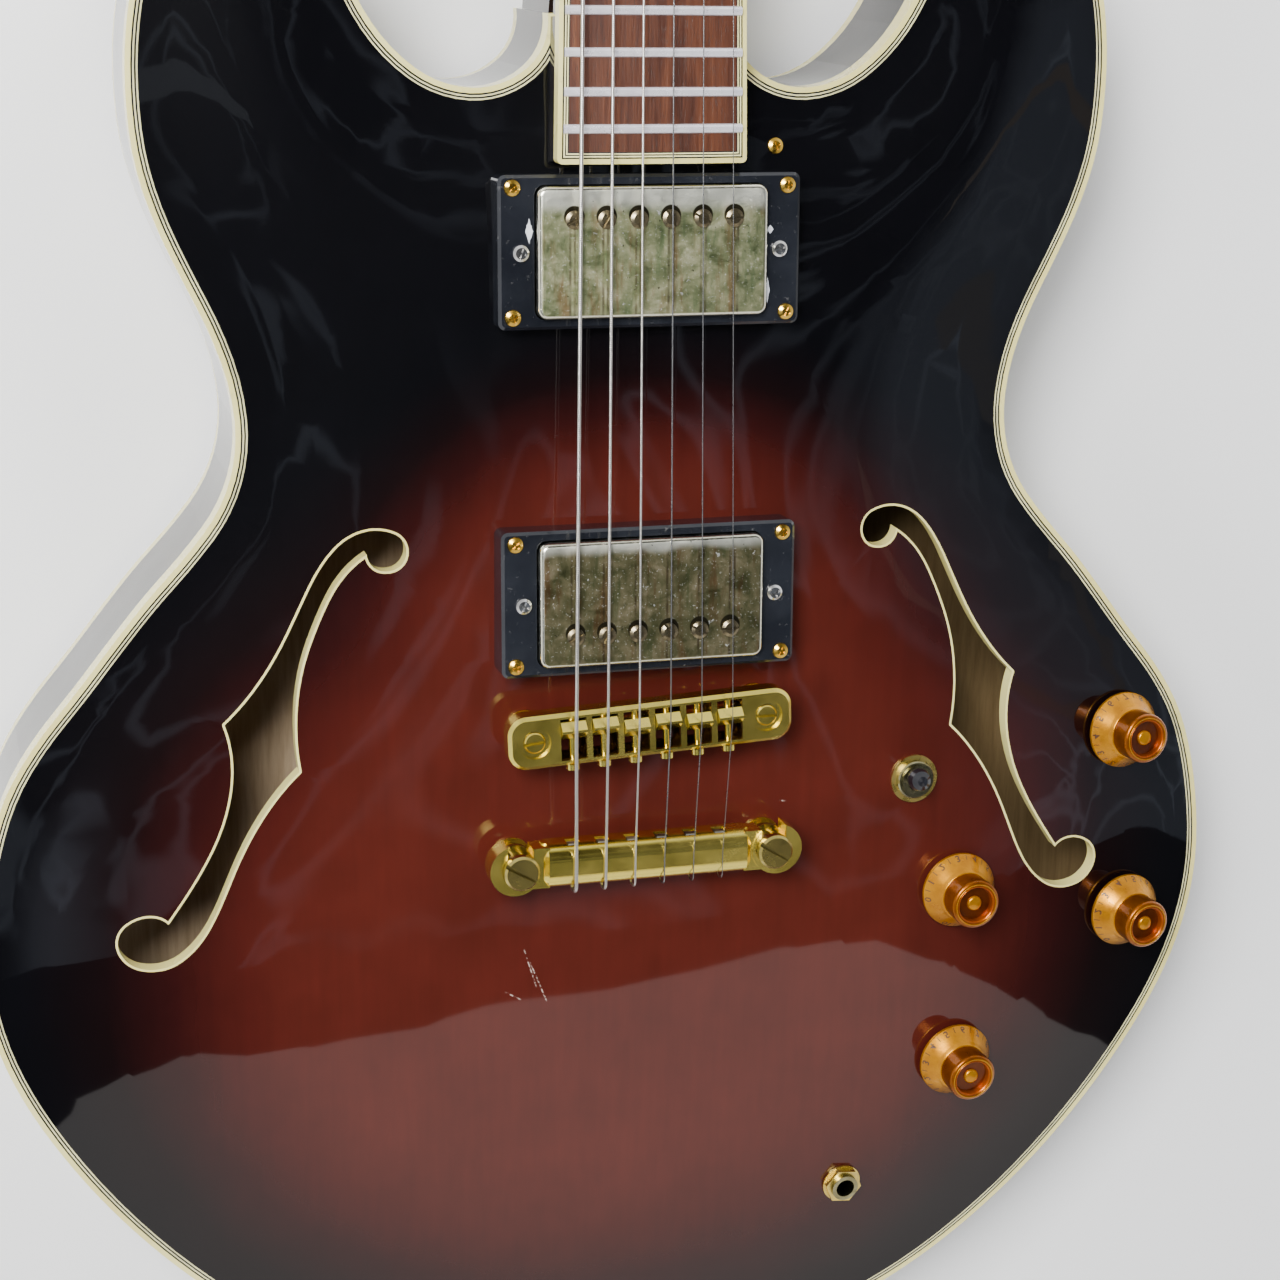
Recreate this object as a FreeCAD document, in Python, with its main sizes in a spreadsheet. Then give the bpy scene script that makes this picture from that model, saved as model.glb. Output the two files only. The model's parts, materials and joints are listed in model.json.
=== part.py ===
"""A thinline semi-hollow electric guitar, as a parametric FreeCAD document.

Everything is laid out in the scale frame, in millimetres: X across the strings towards the treble
side, Y along the strings towards the headstock, Z out of the face. Y = 0 is where the scale length
ends at the bridge, X = 0 is the centre line, and Z = 0 is about the crest of the arched top.
DATUM then lays the guitar on its back with the origin in the head of the tail strap button.
"""
import FreeCAD, Part
import Sketcher
import math
import os

V = FreeCAD.Vector
Rotation = FreeCAD.Rotation
Placement = FreeCAD.Placement
X_AXIS = V(1, 0, 0)
Y_AXIS = V(0, 1, 0)
Z_AXIS = V(0, 0, 1)

# Driving dimensions, in millimetres and degrees.
SIZES = {
    "scale_length": 628.65, "neck_tilt": 2.6, "head_tilt": 14.0, "rest_tilt": 1.45,
    "edge_drop": 10.0, "arch_rise": 11.0, "arch_reach": 45.0, "back_rise": 8.0,
    "rim_depth": 45.0, "top_thick": 5.0, "back_thick": 4.5, "rim_thick": 2.6,
    "binding_thick": 1.6, "binding_tall": 7.0, "line_thick": 0.5, "lining_wide": 6.0,
    "lining_tall": 12.0, "block_half": 56.0, "fhole_binding": 0.7,
    "neck_end": 208.0, "tenon_half": 19.0, "tenon_end": 166.0, "tenon_floor": -42.0,
    "board_height": 12.4, "board_thick": 6.0, "board_end": 166.4, "nut_width": 43.0,
    "board_end_width": 57.6, "crown_radius": 305.0, "board_binding": 1.7,
    "fret_wide": 2.7, "fret_tall": 1.0, "tang_wide": 0.5, "tang_deep": 2.0,
    "nut_long": 5.0, "nut_spacing": 7.1, "saddle_spacing": 9.96, "nut_action": 0.4,
    "saddle_height": 17.0, "tail_spacing": 9.5, "head_thick": 14.0,
    "post_radius": 3.0, "post_top": 17.0, "post_waist": 2.5, "wheel_radius": 5.6,
    "worm_radius": 3.4, "worm_offset": 9.4, "key_radius": 2.0, "bushing_radius": 5.0,
    "tuner_head": 7.0,
    "bridge_posts_x": 37.0, "bridge_bass_y": -5.9, "bridge_treble_y": -2.2,
    "bridge_half": 45.2, "bridge_wide": 8.4, "bridge_floor": 8.0, "bridge_top": 14.6,
    "stud_x": 41.0, "stud_y": -47.3, "stud_radius": 5.6, "tail_half": 50.5,
    "tail_floor": 5.0, "tail_round": 4.6, "tail_front": 7.0,
    "neck_pickup_y": 140.8, "bridge_pickup_y": 36.1, "neck_ring_top": 3.6,
    "bridge_ring_top": 9.4, "ring_half_x": 46.2, "ring_half_y": 22.4,
    "ring_screw_x": 42.0, "ring_screw_y": 18.75, "cover_half_x": 35.1, "cover_half_y": 19.2,
    "cover_gap": 0.35, "cover_proud": 3.6, "cover_deep": 14.9, "height_screw_x": 39.6,
    "pole_radius": 2.7, "pole_offset": 9.6,
    "pot_radius": 12.0, "pot_tall": 9.0, "panel_radius": 4.6, "shaft_radius": 3.0,
    "jack_bore": 3.2, "panel_nut_flats": 11.2, "panel_washer_radius": 6.7,
    "knob_base": 12.8, "knob_top": 8.3, "knob_tall": 16.4,
    "toggle_washer": 8.0, "toggle_radius": 5.15, "toggle_bore": 3.3, "toggle_throw": 10.0,
    "button_neck": 4.0, "button_flange": 7.5,
}

# Half of the body's edge, from the neck joint round the horn and waist to the tail.
BODY_HALF = [
    (28.5, 208), (31, 197), (39.5, 189.3), (51.3, 187), (64, 190.5), (76, 200), (86, 215.5),
    (97, 235.5), (117, 244), (137, 235), (147, 214), (149.6, 190), (147, 162), (137.5, 137),
    (125.3, 109), (121.7, 88), (127, 66), (148.5, 39.5), (171, 11.5), (190, -14),
    (200.5, -46), (203, -75), (198.5, -102), (184, -134), (160, -168), (125, -202),
    (80, -228), (40, -237.3), (0, -239),
]
# The treble f-hole, as four curves that meet at its two cusps and its two nibs.
F_HOLE = [
    [(84.5, 51.0), (93.0, 43.0), (99.5, 31.0), (104.5, 17.5), (107.0, 3.0), (106.2, -15.3)],
    [(106.2, -15.3), (118.0, -29.5), (125.0, -42.0), (131.5, -57.0), (138.5, -69.0),
     (149.8, -76.2), (160.3, -72.5), (161.8, -65.3), (154.5, -59.4), (146.8, -61.8)],
    [(146.8, -61.8), (137.0, -47.0), (129.2, -31.0), (125.9, -11.0), (128.0, 0.3)],
    [(128.0, 0.3), (119.5, 9.5), (112.0, 20.5), (105.0, 34.0), (97.5, 48.0), (90.0, 55.8),
     (80.5, 58.2), (73.2, 54.0), (74.2, 47.6), (80.0, 45.8), (84.5, 51.0)],
]
HEAD_HALF = [(21.6, -6), (22.5, 8), (37.0, 32), (39.5, 60), (39.5, 118), (37.0, 150)]
HEAD_TIP = (0, 172)
FRETS = 22
STRING_DIAMETERS = (1.17, 0.91, 0.66, 0.43, 0.33, 0.25)
WOUND = 3
TUNER_Y = (38.0, 76.0, 114.0)
TUNER_X = 27.0
KNOB_PLACES = {
    "knob_neck_volume": (110.7, -72.3), "knob_neck_tone": (113.5, -134.6),
    "knob_bridge_volume": (169.7, -23.0), "knob_bridge_tone": (174.5, -87.5),
}
TOGGLE_PLACE = (93.5, -32.5)
JACK_PLACE = (75.5, -177.6)
GUARD_SCREW_PLACE = (41.5, 170.0)
INLAY_FRETS = (3, 5, 7, 9, 12, 15, 17)

doc = FreeCAD.newDocument("guitar")
sheet = doc.addObject("Spreadsheet::Sheet", "Dimensions")
for row, (alias, size) in enumerate(SIZES.items(), start=1):
    sheet.set(f"A{row}", alias)
    sheet.set(f"B{row}", str(size))
    sheet.setAlias(f"B{row}", alias)
doc.recompute()


def size(alias):
    """The number in the sheet's cell of that name; a leading minus sign negates it."""
    if alias.startswith("-"):
        return -float(sheet.get(alias[1:]))
    return float(sheet.get(alias))


def bound(alias):
    """The expression that binds a property to the cell of that name."""
    return alias.replace("-", "-Dimensions.") if alias[0] == "-" else "Dimensions." + alias


SCALE = size("scale_length")
NUT_Y = SCALE + size("nut_long")
BUTTON = V(0, BODY_HALF[-1][1] - 11.2, -size("edge_drop") - size("rim_depth") / 2)
DATUM = Placement(V(0, 0, 0), Rotation(X_AXIS, size("rest_tilt"))) * Placement(-BUTTON, Rotation())
NECK = Placement(V(0, 0, size("board_height")), Rotation(X_AXIS, -size("neck_tilt")))
HEAD = NECK * Placement(V(0, NUT_Y, -size("board_thick")), Rotation(X_AXIS, -size("head_tilt")))
AT_SCALE = Placement()
kept = []


# ---- helpers -----------------------------------------------------------------------------------

def keep(item, label, where=AT_SCALE):
    """Names a finished sub-part and puts it where it belongs on the resting guitar."""
    item.Label = label
    item.Placement = DATUM * where
    kept.append(item)
    return item


def feature(label, shape, where=AT_SCALE):
    """A sub-part whose shape is worked out below, in the scale frame unless where says otherwise."""
    item = doc.addObject("Part::Feature", label)
    item.Shape = shape
    return keep(item, label, where)


def local(item, where=AT_SCALE):
    """A copy of a pattern's shape at a place in the scale frame."""
    shape = item.Shape.copy()
    shape.Placement = where * shape.Placement
    return shape


def group(label, pattern, places):
    """Identical pieces as separate solids in one node."""
    return feature(label, Part.makeCompound([local(pattern, where) for where in places]))


def at(x, y, z=0.0, turn=0.0):
    return Placement(V(x, y, z), Rotation(Z_AXIS, turn))


def plane_of(body, role):
    return [item for item in body.Origin.OriginFeatures if item.Role == role][0]


def coordinate(value):
    return size(value) if isinstance(value, str) else float(value)


def closed_sketch(body, role, points, name="Profile"):
    """A closed outline on one of the body's own planes; coordinates named in the sheet stay bound."""
    sketch = body.newObject("Sketcher::SketchObject", name)
    sketch.AttachmentSupport = [(plane_of(body, role), "")]
    sketch.MapMode = "FlatFace"
    corners = [V(coordinate(x), coordinate(y), 0) for x, y in points]
    count = len(corners)
    for index in range(count):
        sketch.addGeometry(Part.LineSegment(corners[index], corners[(index + 1) % count]), False)
    for index in range(count):
        sketch.addConstraint(Sketcher.Constraint("Coincident", index, 2, (index + 1) % count, 1))
    for index, point in enumerate(points):
        for kind, value in zip(("DistanceX", "DistanceY"), point):
            number = sketch.addConstraint(
                Sketcher.Constraint(kind, -1, 1, index, 1, coordinate(value)))
            if isinstance(value, str):
                sketch.setExpression(f"Constraints[{number}]", bound(value))
    return sketch


def lathe(name, points):
    """A turned piece: an outline of (radius, height) points revolved about its own Z axis."""
    body = doc.addObject("PartDesign::Body", name)
    turned = body.newObject("PartDesign::Revolution", name + "_turned")
    turned.Profile = closed_sketch(body, "XZ_Plane", points)
    turned.ReferenceAxis = (turned.Profile[0], ["V_Axis"])
    turned.Angle = 360
    body.Tip = turned
    doc.recompute()
    return body


def slab(name, points, thick, reverse=False):
    """A flat piece: an outline of (x, y) points padded from its own XY plane."""
    body = doc.addObject("PartDesign::Body", name)
    pad = body.newObject("PartDesign::Pad", name + "_pad")
    pad.Profile = closed_sketch(body, "XY_Plane", points)
    pad.Reversed = reverse
    if isinstance(thick, str):
        pad.setExpression("Length", bound(thick))
    else:
        pad.Length = thick
    body.Tip = pad
    doc.recompute()
    return body


def rectangle(half_x, half_y):
    """Corners of a centred rectangle, from names in the sheet or plain numbers."""
    def minus(value):
        return "-" + value if isinstance(value, str) else -value
    return [(minus(half_x), minus(half_y)), (half_x, minus(half_y)), (half_x, half_y),
            (minus(half_x), half_y)]


def box(x0, x1, y0, y1, z0, z1):
    return Part.makeBox(x1 - x0, y1 - y0, z1 - z0, V(x0, y0, z0))


def rod(radius, start, end):
    return Part.makeCylinder(radius, (end - start).Length, start, end - start)


def tangent_arc(start, tangent, finish):
    """The arc that leaves start along a tangent and ends at finish, or a line if it is straight."""
    chord = finish - start
    turn = math.atan2(tangent.x * chord.y - tangent.y * chord.x, tangent.dot(chord))
    if abs(turn) < 1e-4:
        return Part.LineSegment(start, finish).toShape()
    bulge = V(chord.y, -chord.x, 0) * (math.tan(turn / 2) / 2)
    return Part.Arc(start, (start + finish) / 2 + bulge, finish).toShape()


def biarc(start, leaving, finish, arriving):
    """Two arcs that join two points with given tangents and each other without a corner."""
    span = finish - start
    bend = 2 * (1 - leaving.dot(arriving))
    lean = 2 * span.dot(leaving + arriving)
    reach = span.dot(span) / lean
    if bend > 1e-6:
        reach = (math.sqrt(lean ** 2 + 4 * bend * span.dot(span)) - lean) / (2 * bend)
    middle = (start + finish + (leaving - arriving) * reach) / 2
    second = tangent_arc(finish, arriving * -1, middle)
    return [tangent_arc(start, leaving, middle), second]


def smooth_run(points, pieces=0):
    """A smooth curve through the points, drawn as tangent arcs: one pair per gap or per piece."""
    curve = Part.BSplineCurve()
    curve.interpolate([V(x, y, 0) for x, y in points])
    marks = [curve.parameter(V(x, y, 0)) for x, y in points]
    if pieces:
        length = curve.length()
        marks = [curve.parameterAtDistance(length * step / pieces) for step in range(pieces + 1)]
        marks[-1] = curve.LastParameter
    places = [curve.value(mark) for mark in marks]
    headings = [curve.tangent(mark)[0] for mark in marks]
    arcs = []
    for index in range(len(marks) - 1):
        arcs += biarc(places[index], headings[index], places[index + 1], headings[index + 1])
    return arcs


def line(start, end):
    return Part.LineSegment(V(*start), V(*end)).toShape()


def prism(face, low, high):
    return face.translated(V(0, 0, low)).extrude(V(0, 0, high - low))


def inside(face, inset):
    """The face that lies a constant distance inside another one's edge."""
    return face.makeOffset2D(-inset, 2, False, False, False) if inset else face


def band(outer, inner):
    """The ring between the edges of two faces."""
    return Part.makeFace([outer.OuterWire, inner.OuterWire], "Part::FaceMakerBullseye")


def fillet_upright(shape, radius, along=Z_AXIS):
    """Rounds the edges that run along one direction."""
    edges = [edge for edge in shape.Edges if edge.Curve.TypeId == "Part::GeomLine"
             and abs(edge.tangentAt(edge.FirstParameter).dot(along)) > 0.99]
    return shape.makeFillet(radius, edges)


# ---- body --------------------------------------------------------------------------------------

EDGE_Z = -size("edge_drop")
BACK_Z = EDGE_Z - size("rim_depth")
mirrored = [(-x, y) for x, y in reversed(BODY_HALF[:-1])]
body_arcs = smooth_run(BODY_HALF + mirrored, 44)
neck_edge = line((*mirrored[-1], 0), (*BODY_HALF[0], 0))
body_face = Part.Face(Part.Wire(Part.__sortEdges__(body_arcs + [neck_edge])))
edge_marks = body_face.OuterWire.discretize(Distance=4.0)
edge_step = body_face.OuterWire.Length / len(edge_marks)


def inset_at(x, y):
    """How far a point lies from the body's edge, smoothed so that it has no creases."""
    near = 0.0
    for mark in edge_marks:
        square = max((mark.x - x) ** 2 + (mark.y - y) ** 2, 4.0)
        near += edge_step / square ** 2
    return (math.pi / (2 * near)) ** (1 / 3)


def arch(x, y, rise):
    """Height of the pressed arch above the body's edge."""
    square = inset_at(x, y) ** 2
    return rise * square / (square + size("arch_reach") ** 2)


def arched_face(edge_z, rise):
    """A smooth surface over the whole body that follows the arch."""
    rows = []
    for column in range(25):
        x = -216 + 18 * column
        rows.append([V(x, y, edge_z + arch(x, y, rise)) for y in range(-250, 260, 17)])
    surface = Part.BSplineSurface()
    surface.interpolate(rows)
    return surface.toShape()


top_surface = arched_face(EDGE_Z, size("arch_rise"))
back_surface = arched_face(BACK_Z, -size("back_rise"))
top_slab = top_surface.extrude(V(0, 0, -size("top_thick")))
below_top = top_surface.extrude(V(0, 0, -40))
under_top = top_surface.translated(V(0, 0, -size("top_thick"))).extrude(V(0, 0, -45))
back_slab = back_surface.extrude(V(0, 0, size("back_thick")))


def seat(x, y):
    """A place on the arched top, with its own Z along the surface's normal."""
    step = 3.0
    middle = EDGE_Z + arch(x, y, size("arch_rise"))
    slope_x = (arch(x + step, y, size("arch_rise")) - arch(x - step, y, size("arch_rise")))
    slope_y = (arch(x, y + step, size("arch_rise")) - arch(x, y - step, size("arch_rise")))
    normal = V(-slope_x / (2 * step), -slope_y / (2 * step), 1)
    return Placement(V(x, y, middle), Rotation(Z_AXIS, normal))


def f_hole_face(side):
    """The opening of one f-hole: side is 1 for treble and -1 for bass."""
    arcs = []
    for run in F_HOLE:
        arcs += smooth_run([(side * x, y) for x, y in run])
    return Part.Face(Part.Wire(Part.__sortEdges__(arcs)))


binding = size("binding_thick")
hairline = size("line_thick")
line_faces = [inside(body_face, binding + hairline * step) for step in range(5)]
plate_face = line_faces[4]
binding_ring = band(body_face, line_faces[0])
binding_low = EDGE_Z - size("binding_tall")
top_binding = prism(binding_ring, binding_low, EDGE_Z)
purfling = [prism(band(outer, inner), EDGE_Z - size("top_thick"), EDGE_Z)
            for outer, inner in zip(line_faces[:4], line_faces[1:])]
rim_inner = inside(body_face, size("rim_thick"))
rim_low = BACK_Z + size("back_thick")
rim_high = EDGE_Z - size("top_thick")
tenon = box(-size("tenon_half"), size("tenon_half"), size("tenon_end"), size("neck_end") + 2,
            size("tenon_floor"), 2)
block_shape = box(-size("block_half"), size("block_half"), -236, size("neck_end"), -70, 8)
under_lines = prism(band(body_face, plate_face), EDGE_Z - size("top_thick") - 0.02, 8)
block_shape = block_shape.common(prism(rim_inner, -70, 8)).common(under_top).cut(
    back_surface.translated(V(0, 0, size("back_thick"))).extrude(V(0, 0, -40))).cut(
    [tenon, under_lines])
lining_inner = inside(body_face, size("rim_thick") + size("lining_wide"))
lining_ring = band(rim_inner, lining_inner)
block_space = box(-size("block_half"), size("block_half"), -250, 250, -70, 8)
linings = [prism(lining_ring, rim_high - size("lining_tall"), rim_high).cut(block_space),
           prism(lining_ring, rim_low, rim_low + size("lining_tall")).cut(block_space)]
rim = prism(band(body_face, rim_inner), rim_low, binding_low).fuse(
    prism(band(line_faces[0], rim_inner), binding_low, rim_high)).cut(tenon)
strap_hole = rod(1.6, V(0, -245, BUTTON.z), V(0, -200, BUTTON.z))

# Holes through the top.
panel_places = [seat(*KNOB_PLACES[name]) for name in KNOB_PLACES] + [seat(*JACK_PLACE)]
toggle_seat = seat(*TOGGLE_PLACE)
panel_hole = rod(size("panel_radius") + 0.15, V(0, 0, -14), V(0, 0, 8))
toggle_hole = rod(size("toggle_radius") + 0.15, V(0, 0, -14), V(0, 0, 8))


def moved(shape, where):
    shape = shape.copy()
    shape.Placement = where * shape.Placement
    return shape


bridge_turn = math.degrees(math.atan2(size("bridge_treble_y") - size("bridge_bass_y"),
                                      2 * size("bridge_posts_x")))
bridge_middle = (size("bridge_treble_y") + size("bridge_bass_y")) / 2
BRIDGE = at(0, bridge_middle, 0, bridge_turn)
post_places = [(-size("bridge_posts_x"), size("bridge_bass_y")),
               (size("bridge_posts_x"), size("bridge_treble_y"))]
stud_places = [(-size("stud_x"), size("stud_y")), (size("stud_x"), size("stud_y"))]
post_holes = [rod(5.0, V(x, y, -32), V(x, y, 8)) for x, y in post_places + stud_places]
cavities = [box(-43, 43, middle - 20.5, middle + 20.5, -34, 12)
            for middle in (size("neck_pickup_y"), size("bridge_pickup_y"))]
screw_rod = rod(1.25, V(0, 0, -18), V(0, 0, 8))
PICKUPS = [NECK_PICKUP, BRIDGE_PICKUP] = [
    Placement(V(0, size("neck_pickup_y"), size("neck_ring_top")),
              Rotation(X_AXIS, -size("neck_tilt"))),
    Placement(V(0, size("bridge_pickup_y"), size("bridge_ring_top")),
              Rotation(X_AXIS, -size("neck_tilt")))]
CORNERS = [(sx * size("ring_screw_x"), sy * size("ring_screw_y"))
           for sx in (-1, 1) for sy in (-1, 1)]
ring_screw_places = [pickup * at(x, y) for pickup in PICKUPS for x, y in CORNERS]
ring_screw_holes = [moved(rod(1.25, V(0, 0, -30), V(0, 0, 6)), where)
                    for where in ring_screw_places]
guard_seat = seat(*GUARD_SCREW_PLACE)
holes = ([moved(panel_hole, where) for where in panel_places] + [moved(toggle_hole, toggle_seat)]
         + post_holes + cavities + ring_screw_holes + [moved(screw_rod, guard_seat)])

f_faces = [f_hole_face(side) for side in (-1, 1)]
f_outer = [face.makeOffset2D(size("fhole_binding"), 0, False, False, False) for face in f_faces]
f_rings = [prism(band(outer, inner), -22, 8).common(top_slab)
           for outer, inner in zip(f_outer, f_faces)]
top_plate = prism(plate_face, -22, 8).common(top_slab).cut(
    holes + [prism(face, -22, 8) for face in f_outer] + [tenon])

feature("top_plate", top_plate)
feature("top_binding", top_binding.cut(tenon))
feature("top_purfling", Part.makeCompound([ring.cut(tenon) for ring in purfling]))
feature("f_hole_bindings", Part.makeCompound(f_rings))
feature("rim", rim.cut(strap_hole))
feature("linings", Part.makeCompound(linings))
feature("centre_block", block_shape.cut(post_holes + cavities + ring_screw_holes
                                        + [strap_hole, moved(screw_rod, guard_seat)]))
back_face = inside(body_face, binding)
feature("back_plate", prism(back_face, BACK_Z - 10, rim_low + 5).common(back_slab))
feature("back_binding", prism(binding_ring, BACK_Z, rim_low))
doc.recompute()


# ---- neck --------------------------------------------------------------------------------------

NUT_HALF = size("nut_width") / 2
BOARD_HALF = size("board_end_width") / 2
SPREAD = (BOARD_HALF - NUT_HALF) / (SCALE - size("board_end"))
CROWN = size("crown_radius")
BOARD = size("board_thick")


def board_half(y):
    """Half the fretboard's width at a distance from the bridge end of the scale."""
    return NUT_HALF + (SCALE - y) * SPREAD


def board_face(inset, y0, y1):
    """The fretboard's tapered outline, a constant distance inside its edges."""
    corners = [V(-board_half(y0) + inset, y0, 0), V(board_half(y0) - inset, y0, 0),
               V(board_half(y1) - inset, y1, 0), V(-board_half(y1) + inset, y1, 0)]
    return Part.Face(Part.makePolygon(corners + corners[:1]))


def fret_y(number):
    return SCALE / 2 ** (number / 12)


def crowned(radius, y0, y1):
    """The space below a cylinder that shares the fretboard's crown axis."""
    return Part.makeCylinder(radius, y1 - y0, V(0, y0, -CROWN), Y_AXIS)


def fret_run(number, profile, inset):
    """One fret's section swept across the crown to the inner edge of the binding."""
    y = fret_y(number)
    half = board_half(y) - inset
    reach = math.degrees(math.asin(half / CROWN))
    face = Part.Face(Part.makePolygon([V(0, y + across, up) for across, up in profile]))
    face.rotate(V(0, 0, -CROWN), Y_AXIS, -reach)
    return face.revolve(V(0, 0, -CROWN), Y_AXIS, 2 * reach)


fret_half = size("fret_wide") / 2
fret_top = size("fret_tall")
tang_half = size("tang_wide") / 2
crown_profile = [(-fret_half, 0), (-0.8 * fret_half, 0.6 * fret_top), (-0.35 * fret_half, fret_top),
                 (0.35 * fret_half, fret_top), (0.8 * fret_half, 0.6 * fret_top), (fret_half, 0),
                 (tang_half, 0), (tang_half, -size("tang_deep")), (-tang_half, -size("tang_deep")),
                 (-tang_half, 0), (-fret_half, 0)]
slot_profile = [(tang_half, 0.4), (tang_half, -size("tang_deep")),
                (-tang_half, -size("tang_deep")), (-tang_half, 0.4), (tang_half, 0.4)]
edge = size("board_binding")
end = size("board_end")
frets = [fret_run(number, crown_profile, edge) for number in range(1, FRETS + 1)]
slots = [fret_run(number, slot_profile, edge) for number in range(1, FRETS + 1)]
crown_solid = crowned(CROWN, end - 5, SCALE + 5)
dots = []
for number in INLAY_FRETS:
    middle = (fret_y(number) + fret_y(number - 1)) / 2
    for x in ((-11, 11) if number == 12 else (0,)):
        dots.append(Part.makeCylinder(3.1, 3, V(x, middle, -1.6)).common(crown_solid))
board_core = prism(board_face(edge, end + edge, SCALE), -BOARD, 1).common(crown_solid)
board_blank = prism(board_face(0, end, SCALE), -BOARD, 1)
end_corners = [corner for corner in board_blank.Edges
               if corner.BoundBox.ZLength > 1 and corner.BoundBox.YMax < end + 1]
board_whole = board_blank.makeFillet(1.6, end_corners).common(crown_solid)
feature("fretboard", board_core.cut(slots + dots), NECK)
feature("fretboard_binding", board_whole.cut(board_core), NECK)
feature("frets", Part.makeCompound(frets), NECK)
feature("inlays", Part.makeCompound(dots), NECK)


def neck_section(y, depth):
    """A D-shaped section of the neck: flat under the fretboard, rounded at the back."""
    half = board_half(y)
    low = -BOARD - depth
    back = Part.BSplineCurve()
    back.interpolate([V(half, y, -BOARD), V(0.93 * half, y, -BOARD - 0.42 * depth),
                      V(0.55 * half, y, -BOARD - 0.86 * depth), V(0, y, low),
                      V(-0.55 * half, y, -BOARD - 0.86 * depth),
                      V(-0.93 * half, y, -BOARD - 0.42 * depth), V(-half, y, -BOARD)])
    flat = Part.LineSegment(V(-half, y, -BOARD), V(half, y, -BOARD))
    return Part.Wire([back.toShape(), flat.toShape()])


shaft = Part.makeLoft([neck_section(NUT_Y, 14.0), neck_section(SCALE / 2, 16.0),
                       neck_section(size("neck_end"), 18.0)], True, False)
shaft.Placement = NECK
heel_top = size("neck_end")
shaft = shaft.cut(box(-40, 40, 190, heel_top, -70, 40))
heel_length = 58
heel_low = rim_low + 1
heel_side = Part.Wire([
    Part.makeLine(V(0, heel_top, -16), V(0, heel_top, heel_low)),
    Part.makeLine(V(0, heel_top, heel_low), V(0, heel_top + 15, heel_low)),
    Part.Arc(V(0, heel_top + 15, heel_low), V(0, heel_top + 26, -33),
             V(0, heel_top + heel_length, -20)).toShape(),
    Part.makeLine(V(0, heel_top + heel_length, -20), V(0, heel_top, -16))])
heel_plan = Part.Wire([
    Part.makeLine(V(-27, heel_top, 0), V(27, heel_top, 0)),
    Part.Arc(V(27, heel_top, 0), V(22.5, heel_top + 0.5 * heel_length, 0),
             V(13, heel_top + heel_length, 0)).toShape(),
    Part.makeLine(V(13, heel_top + heel_length, 0), V(-13, heel_top + heel_length, 0)),
    Part.Arc(V(-13, heel_top + heel_length, 0), V(-22.5, heel_top + 0.5 * heel_length, 0),
             V(-27, heel_top, 0)).toShape()])
heel = Part.Face(heel_side).translated(V(-30, 0, 0)).extrude(V(60, 0, 0)).common(
    prism(Part.Face(heel_plan), -70, 0))
tongue = prism(board_face(0.4, end + 0.6, heel_top), -BOARD - 9, -BOARD)
tongue.Placement = NECK
tongue = tongue.cut(below_top)
in_heel = heel_top + 3
tenon_solid = box(-size("tenon_half"), size("tenon_half"), size("tenon_end"), in_heel,
                  size("tenon_floor"), 12).common(moved(prism(board_face(0.4, end + 0.6, in_heel + 2),
                                                              -80, -BOARD), NECK))
right_top = Part.Arc(V(*HEAD_HALF[5], 0), V(21, 167, 0), V(*HEAD_TIP, 0)).toShape()
left_top = Part.Arc(V(*HEAD_TIP, 0), V(-21, 167, 0), V(-HEAD_HALF[5][0], HEAD_HALF[5][1], 0)).toShape()
right_side = [Part.makeLine(V(*a, 0), V(*b, 0)) for a, b in zip(HEAD_HALF[:5], HEAD_HALF[1:])]
left_side = [Part.makeLine(V(-b[0], b[1], 0), V(-a[0], a[1], 0))
             for a, b in zip(HEAD_HALF[:5], HEAD_HALF[1:])][::-1]
foot = Part.makeLine(V(-HEAD_HALF[0][0], HEAD_HALF[0][1], 0), V(*HEAD_HALF[0], 0))
head_wire = Part.Wire(right_side + [right_top, left_top] + left_side + [foot])
head_plate = Part.Face(head_wire).extrude(V(0, 0, -size("head_thick")))
head_plate.Placement = HEAD
above_nut = box(-30, 30, SCALE - 10, NUT_Y, -BOARD, 10)
above_nut.Placement = NECK
head_plate = head_plate.cut(above_nut)
rod_channel = moved(box(-3.2, 3.2, 230, NUT_Y + 1, -BOARD - 6.5, -BOARD + 0.01), NECK)
rod_pocket = moved(box(-4.5, 4.5, -6, 24, -8, 0.01), HEAD)

# Tuners: each has its own place on the headstock, bass side 0 to 2 and treble side 3 to 5.
tuner_places = []
for side in (-1, 1):
    rows = TUNER_Y if side < 0 else TUNER_Y[::-1]
    for y in rows:
        tuner_places.append((side, HEAD * at(side * TUNER_X, y)))
thick = size("head_thick")
bushing_hole = rod(size("bushing_radius") + 0.05, V(0, 0, -thick - 1), V(0, 0, 1))
neck_wood = shaft.fuse([heel, tongue, tenon_solid, head_plate]).removeSplitter()
small_screw_hole = rod(0.8, V(0, 0, -7), V(0, 0, 1))
cover_spots = [(-7.2, 9.0), (7.2, 9.0), (0, 34.0)]
cover_screws = [HEAD * at(x, y, 2.0) for x, y in cover_spots]
housing_screws = [where * Placement(V(0, -11, -thick - 2.0), Rotation(X_AXIS, 180))
                  for side, where in tuner_places]
neck_cuts = [moved(bushing_hole, where) for side, where in tuner_places]
neck_cuts += [rod_channel, rod_pocket]
neck_cuts += [moved(small_screw_hole, where) for where in cover_screws + housing_screws]
neck_cuts += cavities
heel_button = Placement(V(0, heel_top + 8.0, heel_low), Rotation(X_AXIS, 180))
neck_cuts.append(moved(rod(1.6, V(0, 0, -20), V(0, 0, 1)), heel_button))
neck_wood = neck_wood.cut(neck_cuts)
feature("neck", neck_wood)
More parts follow.
